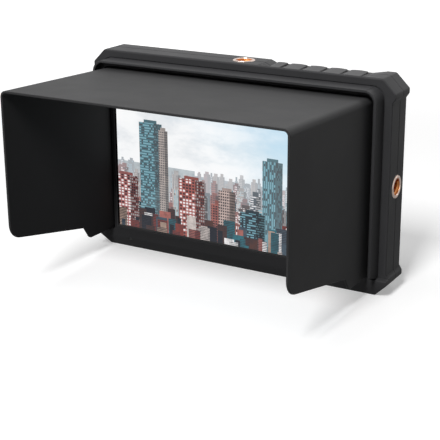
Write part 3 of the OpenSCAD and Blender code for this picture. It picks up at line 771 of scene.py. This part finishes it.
@dataclass
class Studio:
    """Camera as fitted to the photograph, lamps, floor and surroundings."""

    azimuth: float = 30.42
    elevation: float = 18.57
    roll: float = -0.35
    focal_px: float = 1201.4
    frame_px: float = 440.0
    right_mm: float = 6.07
    up_mm: float = -19.2
    away_mm: float = 489.0
    case_front_mm: float = -7.5
    sensor_mm: float = 36.0
    clip_m: tuple[float, float] = (0.02, 20.0)
    world_light: float = 0.02
    floor_tone: float = 0.8
    floor_bounce: float = 0.14
    floor_white: float = 0.35
    floor_fade: tuple[float, float] = (0.2, 0.7)
    floor_half_m: float = 6.0
    lamps: tuple[Lamp, ...] = (
        Lamp("softbox_front", (0.12, -1.0, 1.1), (0.0, 0.0, 0.04), (0.35, 0.5), 19.0),
        Lamp("softbox_top", (-0.3, -0.3, 1.2), (0.0, 0.0, 0.03), (0.6, 0.5), 4.0),
        Lamp("softbox_back", (0.15, 0.95, 0.9), (0.0, 0.0, 0.04), (0.9, 0.5), 2.2),
    )

    def camera(self) -> None:
        """Place the camera where the photograph was taken from."""
        angles = (self.azimuth, self.elevation, self.roll)
        azimuth, elevation, roll = (math.radians(value) for value in angles)
        reach = math.cos(elevation)
        back = Vector(
            (math.sin(azimuth) * reach, -math.cos(azimuth) * reach, math.sin(elevation))
        )
        level = (-back).cross(Vector((0, 0, 1))).normalized()
        upright = level.cross(-back)
        right = math.cos(roll) * level + math.sin(roll) * upright
        upward = -math.sin(roll) * level + math.cos(roll) * upright
        spot = -self.right_mm * right - self.up_mm * upward + self.away_mm * back
        spot.y += self.case_front_mm
        camera = bpy.data.objects.new("camera", bpy.data.cameras.new("camera"))
        camera.data.sensor_width = self.sensor_mm
        camera.data.lens = self.focal_px * self.sensor_mm / self.frame_px
        camera.data.clip_start, camera.data.clip_end = self.clip_m
        turn = Matrix((right, upward, back)).transposed().to_4x4()
        camera.matrix_world = Matrix.Translation(spot * MM) @ turn
        bpy.context.scene.collection.objects.link(camera)
        bpy.context.scene.camera = camera

    def world(self) -> None:
        """Make the surroundings: white where they are seen, dim where they light the object."""
        sheet = ShaderSheet("surroundings", world=True)
        _, seen = sheet.seen()
        share = {"Factor_Float": seen, "A_Float": self.world_light, "B_Float": 1.0}
        strength = sheet.wire("ShaderNodeMix", None, share, "Result_Float")
        white = {"Color": (1.0, 1.0, 1.0, 1.0), "Strength": strength}
        sky = sheet.wire("ShaderNodeBackground", None, white)
        sheet.node("ShaderNodeOutputWorld", None, {"Surface": sky})
        bpy.context.scene.world = sheet.owner

    def floor(self) -> None:
        """Lay a pale floor that keeps the object's soft shadow."""
        sheet = ShaderSheet("floor_white")
        camera, seen = sheet.seen()
        x, y, _ = sheet.split(sheet.place())
        away = (x * x + y * y).maths("SQRT").between(*self.floor_fade)
        glow = seen * (self.floor_white + away * (1 - self.floor_white))
        dull, pale = ((tone,) * 3 for tone in (self.floor_bounce, self.floor_tone))
        tone = sheet.blend(camera, dull, pale)
        paper = sheet.wire("ShaderNodeBsdfDiffuse", None, {"Color": tone})
        white = {"Color": (1.0, 1.0, 1.0, 1.0), "Strength": glow}
        light = sheet.wire("ShaderNodeEmission", None, white)
        mixed = sheet.wire("ShaderNodeAddShader", None, {0: paper, 1: light})
        sheet.node("ShaderNodeOutputMaterial", None, {"Surface": mixed})
        bm = bmesh.new()
        bmesh.ops.create_grid(bm, x_segments=1, y_segments=1, size=self.floor_half_m)
        mesh = bpy.data.meshes.new("floor")
        bm.to_mesh(mesh)
        bm.free()
        mesh.materials.append(sheet.owner)
        floor = bpy.data.objects.new("floor", mesh)
        bpy.context.scene.collection.objects.link(floor)

    def build(self) -> None:
        """Set up the whole studio."""
        bpy.context.scene.view_settings.view_transform = "Standard"
        self.camera()
        self.world()
        self.floor()
        for lamp in self.lamps:
            lamp.build()


BODY_BLACK = MouldedPlastic("black_shell", (0.041, 0.041, 0.043))
COVER_BLACK = MouldedPlastic("black_cover", (0.048, 0.048, 0.05))
HOOD_BLACK = MouldedPlastic(
    "black_hood", (0.037, 0.037, 0.038), roughness=0.55, grain_mm=0.2, grain_depth_mm=0.006
)
HOOD_LINING = MouldedPlastic(
    "black_hood_inside", (0.036, 0.036, 0.037), roughness=0.7, specular=0.05, grain_mm=0.2
)
PLATE_BLACK = MouldedPlastic("black_plate", (0.03, 0.03, 0.031), grain_mm=0.4)
KEY_BLACK = SoftSkin("key_skin", (0.052, 0.052, 0.054), roughness=0.6)
KEY_TRIM = MouldedPlastic("key_trim", (0.045, 0.045, 0.047))
DEEP_BLACK = SmoothPlastic("socket_black", (0.012, 0.012, 0.013), roughness=0.35)
GLASS_BLACK = SmoothPlastic("glass_border", (0.006, 0.006, 0.007), roughness=0.12, coat=0.6)
SHELL_STEEL = Metal("plated_steel", (0.62, 0.61, 0.6), 0.28, (1.0, 1.0, 4.0))
SHEET_STEEL = Metal("sheet_steel", (0.6, 0.61, 0.62), 0.32, (1.0, 8.0, 1.0), 0.8)
SHEET_ALUMINIUM = Metal("sheet_aluminium", (0.72, 0.73, 0.75), 0.38, (6.0, 1.0, 1.0), 0.7)
SPRING_STEEL = Metal("spring_steel", (0.6, 0.6, 0.62), 0.25)
SCREW_BLACK = Metal(
    "blackened_steel", (0.05, 0.05, 0.052), 0.42, tarnish=(0.09, 0.088, 0.085)
)
CONTACT_GOLD = Metal("contact_gold", (0.83, 0.62, 0.28), 0.26, tarnish=(0.7, 0.48, 0.2))
RING_COPPER = Metal(
    "ring_polished", (0.68, 0.56, 0.5), 0.26, grain_mm=0.15, tarnish=(0.55, 0.42, 0.35)
)
THREAD_BRASS = SmoothPlastic(
    "thread_brass", (0.72, 0.27, 0.06), roughness=0.34, coat=0.3, metallic=0.55
)
SMOKED_LENS = SmoothPlastic("smoked_lens", (0.01, 0.01, 0.01), roughness=0.3, coat=0.1)


@dataclass
class Shells:
    """Front shell and rear cover, with the window of the status light."""

    edge: float = 0.45
    lens_edge: float = 0.12
    band_y: float = -7.5
    moat_y: float = -12.8
    moat_deeper: float = 1.6
    groove: float = 0.5
    collar_hw: float = 63.2
    collar_z: float = 80.8
    collar_r: float = 5.0
    bead_t: float = 0.85
    outer_in: float = 0.85
    inner_in: float = 1.05
    near: float = 0.05
    level: float = 0.02
    joint_half: float = 0.06
    joint_hw: float = 59.5
    joint_z: tuple[float, float] = (1.3, 82.7)

    def fit(self, point: Vector) -> Vector:
        """Make the collar a little narrower, and the moat inside it deeper.

        Args:
            point: A point of the front shell.

        Returns:
            Where the point goes.
        """
        if point.y > self.band_y + self.groove:
            return point
        out = abs(point.x)
        centre_x, centre_z = self.collar_hw - self.collar_r, self.collar_z - self.collar_r
        corner = Vector((max(out - centre_x, 0.0), max(point.z - centre_z, 0.0)))
        past = corner.length - self.collar_r
        shift = 0.0
        if corner.x > 0 and -self.bead_t - self.near < past < self.groove:
            shift = self.outer_in if past > -self.bead_t / 2 else self.inner_in
        deeper = self.moat_deeper if abs(point.y - self.moat_y) < self.level else 0.0
        return Vector((math.copysign(out - shift, point.x), point.y + deeper, point.z))

    def hidden(self, point: Vector) -> bool:
        """Tell the edges inside the joint between the shells."""
        inside = abs(point.x) < self.joint_hw and self.joint_z[0] < point.z < self.joint_z[1]
        return inside and abs(point.y) < self.joint_half

    def build(self, kit: Kit) -> None:
        """Make both shells and the lens.
        """
        front, rear, lens = [BODY_BLACK], [COVER_BLACK], [SMOKED_LENS]
        edge, hidden = self.edge, self.hidden
        kit.rounded(
            "front_housing", "front_shell", front, Slot.FRONT, edge, fit=self.fit, hidden=hidden
        )
        kit.rounded("rear_cover", "rear_shell", rear, Slot.COVER, edge, hidden=hidden)
        kit.rounded("status_light", "status_lens", lens, Slot.LENS, self.lens_edge)


@dataclass
class SunHood:
    """The bent sheet round the screen."""

    edge: float = 0.32
    middle_z: float = 35.0
    inward: float = 17.5

    def inner(self, middle: Vector, normal: Vector) -> bool:
        """Tell the faces that look towards the screen's middle."""
        return normal.x * middle.x + normal.z * (middle.z - self.middle_z) < -self.inward

    def build(self, kit: Kit) -> None:
        """Make the hood with its dull inside.
        """
        finishes, lining = [HOOD_BLACK, HOOD_LINING], [(1, self.inner)]
        kit.rounded("sun_hood", "hood_sheet", finishes, Slot.HOOD, self.edge, lining)


@dataclass
class KeyRow:
    """Five keys, the plate round them and what is under them."""

    names: tuple[str, ...] = ("power_key", "input_key", "menu_key", "left_key", "right_key")
    key_edge: float = 0.3
    trim_edge: float = 0.1

    def build(self, kit: Kit) -> None:
        """Make the keys and dress their board.
        """
        for name in self.names:
            piece = name.replace("_key", "_button")
            kit.rounded(name, piece, [KEY_BLACK], Slot.KEY, self.key_edge)
        kit.rounded("key_bezel", "key_trim", [KEY_TRIM], Slot.KEY, self.trim_edge)
        kit.dress("key_board", CircuitBoard("board_mask"))
        kit.dress("key_switches", SHELL_STEEL)


@dataclass
class ThreadInsert:
    """A camera thread insert: a turned body and its thread, drawn with its mouth at z = 0."""

    node: str
    piece: str
    turn: Matrix
    proud: float = 0.15
    flange_r: float = 4.45
    ring_r: float = 4.05
    body_r: float = 3.75
    flange_t: float = 0.8
    length: float = 6.0
    edge: float = 0.12
    tail: float = 0.2
    crest_r: float = 2.55
    root_r: float = 3.15
    skin: float = 0.02
    bite: float = 0.1
    pitch: float = 1.27
    root_share: float = 0.44
    crest_share: float = 0.08
    thread_start: float = 0.4
    thread_end: float = 0.25
    steps: int = 48
    sharp_deg: float = 28.0

    def build(self, kit: Kit) -> None:
        """Make the insert with its thread.
        """
        bm = bmesh.new()
        self._body(bm)
        self._thread(bm)
        bmesh.ops.transform(bm, matrix=Matrix.Scale(MM, 4), verts=bm.verts)
        bmesh.ops.transform(bm, matrix=self.turn, verts=bm.verts)
        bmesh.ops.recalc_face_normals(bm, faces=bm.faces)
        finishes = [RING_COPPER, THREAD_BRASS]
        piece = kit.add(self.piece, bm, finishes, kit.body(self.node), Slot.BRASS)
        smooth(piece, self.sharp_deg)
        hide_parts(self.node)

    @staticmethod
    def _middle(face: bmesh.types.BMFace) -> tuple[float, float]:
        """Return how far a face's middle lies from the axis, and its height."""
        middle = face.calc_center_median()
        return Vector((middle.x, middle.y)).length, middle.z

    def _body(self, bm: bmesh.types.BMesh) -> None:
        """Turn the body and its flange.

        Args:
            bm: The mesh that gets them.
        """
        top, root, edge, ring = self.proud, self.root_r + self.skin, self.edge, self.ring_r
        outline = [
            (root, top - 0.35),
            (root, -0.4),
            (root, -self.length),
            (self.body_r - self.tail, -self.length),
            (self.body_r, -self.length + self.tail),
            (self.body_r, -self.flange_t),
            (self.flange_r, -self.flange_t),
            (self.flange_r, -edge),
            (self.flange_r - edge, 0.0),
        ]
        if self.proud > 0:
            outline += [
                (ring + 0.02, 0.0),
                (ring, top - edge),
                (ring - 0.04, top - 0.04),
                (ring - edge, top),
                (root + 0.22, top),
                (root + 0.16, top - 0.03),
                (root + 0.02, top - 0.3),
            ]
        else:
            outline += [(root + 0.32, 0.0), (root + 0.25, -0.03), (root + 0.02, -0.3)]
        verts = [bm.verts.new((radius, 0.0, height)) for radius, height in outline]
        edges = [bm.edges.new((a, b)) for a, b in zip(verts, verts[1:] + verts[:1])]
        bmesh.ops.spin(
            bm, geom=verts + edges, cent=(0, 0, 0), axis=(0, 0, 1), dvec=(0, 0, 0), angle=math.tau,
            steps=self.steps, use_merge=True, use_duplicate=False,
        )
        for face in bm.faces:
            radius, height = self._middle(face)
            face.material_index = int(radius < root + self.skin / 2 or height < -self.flange_t)

    def _thread(self, bm: bmesh.types.BMesh) -> None:
        """Wind the thread's ridge along the bore.

        Args:
            bm: The mesh that gets it.
        """
        root, crest = self.root_r, self.crest_r
        half_root, half_crest = self.pitch * self.root_share, self.pitch * self.crest_share
        middle = -self.length + self.thread_end + half_root
        room = self.length - 2 * half_root - self.thread_end - self.thread_start
        turns = room / self.pitch
        corners = [
            (root + self.bite, middle - half_root),
            (root, middle - half_root),
            (crest, middle - half_crest),
            (crest, middle + half_crest),
            (root, middle + half_root),
            (root + self.bite, middle + half_root),
        ]
        verts = [bm.verts.new((radius, 0.0, height)) for radius, height in corners]
        start = bm.faces.new(verts)
        count = round(self.steps * turns)
        bmesh.ops.spin(
            bm, geom=[start], cent=(0, 0, 0), axis=(0, 0, 1), dvec=(0, 0, room / count),
            angle=math.tau * turns, steps=count, use_merge=False, use_duplicate=False,
        )
        for face in bm.faces:
            if self._middle(face)[0] < root + self.skin / 4:
                face.material_index = 1


@dataclass
class Inserts:
    """The three thread inserts."""

    case_h: float = 84.0
    case_hw: float = 65.6

    def build(self, kit: Kit) -> None:
        """Make the inserts in the top, the right side and the underside.
        """
        up = Matrix.Translation((0.0, 0.0, self.case_h * MM))
        side = Matrix.Translation((self.case_hw * MM, 0.0, self.case_h / 2 * MM))
        side @= Matrix.Rotation(math.pi / 2, 4, "Y")
        down = Matrix.Rotation(math.pi, 4, "X")
        ThreadInsert("top_insert", "top_thread", up).build(kit)
        ThreadInsert("side_insert", "side_thread", side).build(kit)
        ThreadInsert("bottom_insert", "bottom_thread", down, proud=0.0).build(kit)


class Front(Enum):
    """How a building's windows lie: the solid share of a window's pitch, across and up."""

    GRID = (0.34, 0.4)
    FLOORS = (0.04, 0.5)
    COLUMNS = (0.5, 0.05)
    PLAIN = (2.0, 2.0)


@dataclass
class Block:
    """A building in the made-up view on the screen, in shares of the picture."""

    left: float
    right: float
    top: float
    wall: Colour
    pane: Colour
    pitch: tuple[float, float]
    haze: float = 0.0
    front: Front = Front.GRID
    shade: float = 0.4
    foreshortened: float = 0.6
    roof_inset: float = 0.22
    roof_tone: float = 0.7

    def shaded(self, share: float) -> "Block":
        """Return the building's side that lies in the shade.

        Args:
            share: How much of the building's width it takes.

        Returns:
            The side, darker and with its windows closer together.
        """
        wall, pane = (tuple(part * self.shade for part in tone) for tone in (self.wall, self.pane))
        left = self.right - (self.right - self.left) * share
        pitch = (self.pitch[0] * self.foreshortened, self.pitch[1])
        return replace(self, left=left, wall=wall, pane=pane, pitch=pitch)

    def cap(self, rise: float) -> "Block":
        """Return the narrower plain storey on the building's roof.

        Args:
            rise: How far it stands above the roof.

        Returns:
            The storey.
        """
        inset = (self.right - self.left) * self.roof_inset
        wall = tuple(part * self.roof_tone for part in self.wall)
        sides = {"left": self.left + inset, "right": self.right - inset, "top": self.top + rise}
        return replace(self, **sides, wall=wall, pane=wall, front=Front.PLAIN)


@dataclass
class Display:
    """The display glass with a made-up view of a harbour town lit on it."""

    view_w: float = 110.6
    view_h: float = 62.2
    view_z: float = 9.85
    seed: int = 41
    near: float = 1e-6
    weld: float = 1e-7
    facing: float = 0.9

    def build(self, kit: Kit) -> None:
        """Make the glass, lay out the view and dress what lies behind.
        """
        low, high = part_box("lcd_glass")
        bm = bmesh.new()
        bmesh.ops.create_cube(bm, size=1.0)
        place = Matrix.Translation((low + high) / 2) @ Matrix.Diagonal((*(high - low), 1.0))
        bmesh.ops.transform(bm, matrix=place, verts=bm.verts)
        self._lay_out(bm, low.y)
        lit = ScreenView("screen_view", self.view_w, self.view_h, self.view_z)
        finishes = [GLASS_BLACK, lit]
        piece = kit.add("display_panel", bm, finishes, kit.body("lcd_glass"), Slot.DISPLAY)
        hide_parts("lcd_glass")
        kit.dress("backlight", SmoothPlastic("diffuser", (0.8, 0.8, 0.77), roughness=0.5))
        kit.dress("display_tray", SHEET_STEEL)
        kit.dress("display_pad", SoftSkin("foam", (0.03, 0.03, 0.03), depth_mm=0.08))

    def _reaches(self, face: bmesh.types.BMFace, box: Box, front: float) -> bool:
        """Tell whether a face of the front reaches into a box.

        Args:
            face: The face.
            box: The box's left, right, lower and upper side in metres.
            front: Where the front plane lies along Y, in metres.

        Returns:
            True if it does.
        """
        x0, x1, z0, z1 = box
        near = self.near
        xs, ys, zs = zip(*(vert.co for vert in face.verts))
        across = max(xs) > x0 + near and min(xs) < x1 - near
        return across and max(zs) > z0 + near and min(zs) < z1 - near and max(ys) < front + near

    def _cut(self, bm: bmesh.types.BMesh, box: Box, front: float) -> None:
        """Split the front's faces along the sides of a box.

        Args:
            bm: The glass.
            box: The box's left, right, lower and upper side in metres.
            front: Where the front plane lies along Y, in metres.
        """
        faces = [face for face in bm.faces if self._reaches(face, box, front)]
        for axis, at in zip((0, 0, 1, 1), box):
            edges = (edge for face in faces for edge in face.edges)
            verts = (vert for face in faces for vert in face.verts)
            point, normal = ((0, 0, at), (0, 0, 1)) if axis else ((at, 0, 0), (1, 0, 0))
            geom = list({*faces, *edges, *verts})
            made = bmesh.ops.bisect_plane(
                bm, geom=geom, dist=self.weld, plane_co=point, plane_no=normal
            )
            parts = (part for part in made["geom"] if isinstance(part, bmesh.types.BMFace))
            faces = [part for part in parts if self._reaches(part, box, front)]

    def _lay_out(self, bm: bmesh.types.BMesh, front: float) -> None:
        """Cut the front face into sky and blocks, and write each face's colours on it.

        Args:
            bm: The glass.
            front: Where the front plane lies along Y, in metres.
        """
        bm.normal_update()
        half = self.view_w / 2 * MM
        base, height = self.view_z * MM, self.view_h * MM
        whole = (-half, half, base, base + height)
        self._cut(bm, whole, front)
        blocks = self.blocks()
        spans = []
        for block in blocks:
            x0, x1 = (-half + share * 2 * half for share in (block.left, block.right))
            spans.append((max(x0, -half), min(x1, half), base, base + block.top * height))
            self._cut(bm, spans[-1], front)
        wall, pane = (bm.faces.layers.float_color.new(name) for name in ("wall", "pane"))
        grid, solid = (bm.faces.layers.float_vector.new(name) for name in ("grid", "solid"))
        for face in bm.faces:
            middle = face.calc_center_median()
            inside = whole[0] < middle.x < whole[1] and whole[2] < middle.z < whole[3]
            if face.normal.y > -self.facing or not inside:
                continue
            face.material_index = 1
            face[wall], face[pane], face[grid] = (0, 0, 0, 0), (0, 0, 0, 0), Vector((1, 1, 0))
            for number, (block, box) in enumerate(zip(blocks, spans), 1):
                if box[0] < middle.x < box[1] and middle.z < box[3]:
                    face[wall], face[pane] = (*block.wall, 1.0), (*block.pane, 1.0)
                    face[grid] = Vector((*block.pitch, number + block.haze * HAZE_SHARE))
                    face[solid] = Vector((*block.front.value, 0.0))

    def blocks(self) -> list[Block]:
        """Draw the blocks, by a fixed seed.

        Returns:
            The blocks, from the furthest to the nearest.
        """
        draw = random.Random(self.seed)
        teal, slate, brick = (0.03, 0.15, 0.19), (0.06, 0.09, 0.12), (0.24, 0.05, 0.04)
        rose, brown, sand = (0.4, 0.14, 0.12), (0.08, 0.035, 0.03), (0.42, 0.3, 0.24)
        cream, ink, white = (0.62, 0.55, 0.52), (0.012, 0.015, 0.025), (0.88, 0.86, 0.87)
        glass, dusk, rust = (0.2, 0.42, 0.5), (0.03, 0.03, 0.04), (0.6, 0.22, 0.07)
        far, farther = (0.36, 0.42, 0.44), (0.34, 0.38, 0.42)
        plum, mauve = (0.07, 0.025, 0.03), (0.14, 0.07, 0.08)
        hazy, old = (slate, rose, sand, cream, teal), (slate, brick, cream, sand, teal, rose)
        warm, dim = (brown, brick, cream, slate, teal, rose), (brown, ink, brick, sand, teal, rose)
        rows = [
            (52, 0.42, 0.05, (0.012, 0.03), (0.5, 0.7), 0.6, hazy),
            (44, 0.35, 0.07, (0.018, 0.04), (0.6, 0.9), 0.3, old),
            (28, 0.27, 0.09, (0.03, 0.065), (0.7, 1.1), 0.12, warm),
            (16, 0.18, 0.08, (0.05, 0.1), (0.9, 1.4), 0.0, dim),
        ]
        made = [
            Block(-0.02, 0.34, 0.46, far, far, (1.0, 1.0), 0.45, Front.PLAIN),
            Block(0.3, 1.02, 0.43, farther, farther, (1.0, 1.0), 0.5, Front.PLAIN),
        ]
        for count, mean, spread, widths, pitches, haze, tones in rows:
            for index in range(count):
                middle = (index + draw.uniform(0.1, 0.9)) / count
                width = draw.uniform(*widths)
                tone = draw.choice(tones)
                panes = (glass, white) if tone in (teal, slate) else (white, dusk, white)
                pane = draw.choice(panes)
                if sum(tone) > 0.9:
                    pane = draw.choice((dusk, glass))
                pitch = (draw.uniform(*pitches), draw.uniform(*pitches) * 1.1)
                top = mean + draw.uniform(-spread, spread)
                style = draw.choice((Front.GRID, Front.GRID, Front.FLOORS, Front.COLUMNS))
                left, right = middle - width / 2, middle + width / 2
                block = Block(left, right, top, tone, pane, pitch, haze, style)
                cap = block.cap(draw.uniform(0.01, 0.03))
                made += [cap, block, block.shaded(draw.uniform(0.2, 0.45))]
        towers = [
            Block(0.1, 0.2, 0.74, teal, glass, (0.8, 1.1), 0.1, Front.FLOORS),
            Block(0.185, 0.225, 0.7, (0.5, 0.42, 0.38), dusk, (0.9, 1.0), 0.1),
            Block(0.62, 0.7, 0.6, (0.05, 0.2, 0.25), glass, (0.9, 1.0), 0.1, Front.COLUMNS),
            Block(0.27, 0.38, 0.4, (0.42, 0.12, 0.1), white, (1.5, 1.3)),
            Block(0.44, 0.51, 0.36, (0.6, 0.46, 0.42), dusk, (1.0, 1.2)),
            Block(0.74, 0.87, 0.38, (0.12, 0.055, 0.045), (0.55, 0.46, 0.44), (1.0, 1.2)),
            Block(0.9, 1.02, 0.5, plum, mauve, (2.0, 1.2), 0.0, Front.FLOORS),
            Block(-0.02, 0.09, 0.36, (0.45, 0.17, 0.16), white, (1.6, 1.2)),
            Block(0.53, 0.63, 0.24, (0.03, 0.06, 0.08), glass, (0.8, 1.0), 0.0, Front.FLOORS),
        ]
        for block in towers:
            made += [block.cap(0.02), block, block.shaded(0.35)]
        low_count = 70
        for index in range(low_count):
            left = draw.uniform(-0.02, 0.98)
            tone = draw.choice((cream, teal, rose, ink, brown, white, slate, sand, brick))
            style = draw.choice((Front.PLAIN, Front.FLOORS, Front.GRID))
            top = 0.17 - 0.15 * index / low_count + draw.uniform(-0.02, 0.02)
            right = left + draw.uniform(0.015, 0.05)
            made.append(Block(left, right, top, tone, dusk, (0.6, 0.7), 0.0, style))
        for rise in (0.028 * step for step in range(7, -1, -1)):
            stair = Block(0.8 + rise, 1.02, 0.02 + rise, rust, brown, (9.0, 0.95))
            made.append(replace(stair, front=Front.FLOORS))
        return made


@dataclass(frozen=True)
class ScreenView(Finish):
    """Light of the screen: a cloudy sky over the blocks that are cut into its face."""

    view_w: float
    view_h: float
    view_z: float

    def material(self) -> bpy.types.Material:
        """Wire the finish up.

        Returns:
            The material.
        """
        sheet = ShaderSheet(self.name)
        x, _, z = sheet.split(sheet.place())
        across = x * (1 / (self.view_w * MM)) + 0.5
        up = (z - self.view_z * MM) * (1 / (self.view_h * MM))
        cloud = sheet.noise(26.0, 5.0, 0.6, sheet.stretched((1.0, 1.0, 2.2)))
        blue = (across * 0.75 + up * 0.35 - cloud * 0.5).between(0.15, 0.75)
        clear = sheet.blend(up.between(0.45, 1.0), (0.62, 0.82, 0.93), (0.36, 0.62, 0.82))
        banks = [(0.3, (0.66, 0.7, 0.74)), (0.55, (0.93, 0.94, 0.95)), (0.8, (1.0, 1.0, 1.0))]
        bank = sheet.ramp(cloud, banks)
        sky = sheet.blend(blue, bank, clear)
        wall, pane = (sheet.attribute(name, "Color") for name in ("wall", "pane"))
        pitch_x, pitch_z, number = sheet.split(sheet.attribute("grid", "Vector"))
        column = x * (1 / MM) / pitch_x
        row = z * (1 / MM) / pitch_z
        solid_x, solid_z, _ = sheet.split(sheet.attribute("solid", "Vector"))
        gap = (column.fract() > solid_x) * (row.fract() > solid_z)
        cell = sheet.join(column.floor(), row.floor(), number.floor())
        depth = {"noise_dimensions": "3D"}
        chance = sheet.wire("ShaderNodeTexWhiteNoise", depth, {"Vector": cell}, "Value")
        grime = sheet.noise(3.0, 4.0, 0.7)
        front = sheet.blend(grime.between(0.35, 0.75) * 0.6, wall, (0.02, 0.025, 0.035))
        window = sheet.blend(chance > 0.62, pane, (0.02, 0.022, 0.03))
        built = sheet.blend(gap * 0.9, front, window)
        far = number.fract()
        built = sheet.blend(far, built, (0.72, 0.76, 0.8))
        seen = sheet.blend(number > 0.5, sky, built)
        return sheet.surface(
            Base_Color=(0.008, 0.008, 0.008),
            Roughness=0.2,
            Coat_Weight=0.25,
            Emission_Color=seen,
            Emission_Strength=1.0,
        )


@dataclass
class Sockets:
    """Sockets on the left side."""

    video: tuple[str, ...] = ("video_in_socket", "video_out_socket")
    jacks: tuple[str, ...] = ("headphone_socket", "power_socket")
    video_edge: float = 0.12
    jack_edge: float = 0.15
    tongue_x: tuple[float, float] = (-61.9, -54.0)
    tongue_y: tuple[float, float] = (1.65, 2.85)
    tongue_half: float = 5.9

    def build(self, kit: Kit) -> None:
        """Make the four sockets.
        """
        for name in self.video:
            centre_z = sum(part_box(name), Vector()).z / 2 / MM

            def tongue(middle: Vector, _: Vector, z: float = centre_z) -> bool:
                """Tell the tongue from the shell round it.

                Args:
                    middle: A face's middle.
                    z: The height of the socket's middle.

                Returns:
                    True on the tongue.
                """
                x0, x1 = self.tongue_x
                y0, y1 = self.tongue_y
                inside = x0 < middle.x < x1 and y0 < middle.y < y1
                return inside and abs(middle.z - z) < self.tongue_half

            piece, finishes = name.replace("socket", "port"), [SHELL_STEEL, DEEP_BLACK]
            zones = [(1, tongue)]
            kit.rounded(name, piece, finishes, Slot.SOCKET_METAL, self.video_edge, zones)
        for name in self.jacks:
            piece = name.replace("socket", "port")
            kit.rounded(name, piece, [DEEP_BLACK], Slot.SOCKET_BLACK, self.jack_edge)


@dataclass
class BatteryMount:
    """Battery plate with its contacts, leads, release button and the spring under the button."""

    plate_edge: float = 0.35
    blade_edge: float = 0.12
    button_edge: float = 0.3
    press: float = 1.3
    wire_r: float = 0.175
    wire_sides: int = 10
    coil_turns: int = 3
    coil_steps: int = 40
    clear: float = 0.04

    def build(self, kit: Kit) -> None:
        """Make the plate and what it carries.
        """
        plate, gold = [PLATE_BLACK], [CONTACT_GOLD]
        kit.rounded("battery_plate", "battery_shoe", plate, Slot.PLATE, self.plate_edge)
        kit.rounded("battery_contacts", "battery_blades", gold, Slot.GOLD, self.blade_edge)
        kit.rounded("latch_button", "release_button", plate, Slot.PLATE, self.button_edge)
        kit.dress("battery_leads", SoftSkin("lead_sleeve", (0.35, 0.02, 0.02), roughness=0.45))
        self._spring(kit)

    def _spring(self, kit: Kit) -> None:
        """Wind the spring, which flattens as the button goes in.
        """
        low, high = (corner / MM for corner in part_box("latch_spring"))
        middle, radius = (low + high) / 2, (high.x - low.x) / 2 - self.wire_r
        start, end = low.y + self.wire_r, high.y - self.wire_r
        count = self.coil_turns * self.coil_steps
        bm = bmesh.new()
        bmesh.ops.create_circle(bm, cap_ends=True, segments=self.wire_sides, radius=self.wire_r)
        place = Matrix.Translation((middle.x + radius, start, middle.z))
        bmesh.ops.transform(bm, matrix=place, verts=bm.verts)
        bmesh.ops.spin(
            bm, geom=list(bm.faces), cent=(middle.x, start, middle.z), axis=(0, 1, 0),
            dvec=(0, (end - start) / count, 0), angle=math.tau * self.coil_turns,
            steps=count, use_merge=False, use_duplicate=False,
        )
        bmesh.ops.transform(bm, matrix=Matrix.Scale(MM, 4), verts=bm.verts)
        bmesh.ops.recalc_face_normals(bm, faces=bm.faces)
        body = kit.body("latch_spring")
        piece = kit.add("release_spring", bm, [SPRING_STEEL], body, Slot.SPRING)
        smooth(piece)
        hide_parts("latch_spring")
        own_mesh(piece)


@dataclass
class Insides:
    """Parts inside the case that keep their CAD shape."""

    def build(self, kit: Kit) -> None:
        """Dress the inner parts.
        """
        kit.dress("chassis_plate", SHEET_ALUMINIUM)
        film = SmoothPlastic("ribbon_film", (0.5, 0.24, 0.05), roughness=0.3)
        resin = SmoothPlastic("chip_resin", (0.02, 0.02, 0.022), roughness=0.45)
        kit.dress("ribbon_cable", film)
        kit.dress("main_board", CircuitBoard("board_mask"))
        kit.dress("board_parts", resin)
        kit.dress("thermal_pad", SoftSkin("gap_pad", (0.35, 0.38, 0.5)))
        kit.dress("heat_sink", SHEET_ALUMINIUM)


@dataclass
class Screws:
    """Screws of the cover, the chassis, the board and the battery plate."""

    edge: float = 0.12

    def build(self, kit: Kit) -> None:
        """Make the screws that show and dress the hidden ones.
        """
        for name in ("cover", "plate"):
            node, piece = f"{name}_screws", f"{name}_fasteners"
            kit.rounded(node, piece, [SCREW_BLACK], Slot.SCREW, self.edge)
        for name in ("chassis_screws", "board_screws"):
            kit.dress(name, SPRING_STEEL)


def main() -> None:
    """Build the scene."""
    logging.basicConfig(level=logging.INFO, format="%(message)s")
    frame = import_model()
    Studio().build()
    kit = Kit(frame)
    parts = (Shells, SunHood, Display, KeyRow, Inserts, Sockets, BatteryMount, Insides, Screws)
    for part in parts:
        made = len(kit.pieces)
        part().build(kit)
        for piece in kit.pieces[made:]:
            count = len(piece.data.polygons)
            LOG.info("%s made %s with %d faces", part.__name__, piece.name, count)


if __name__ == "__main__":
    main()
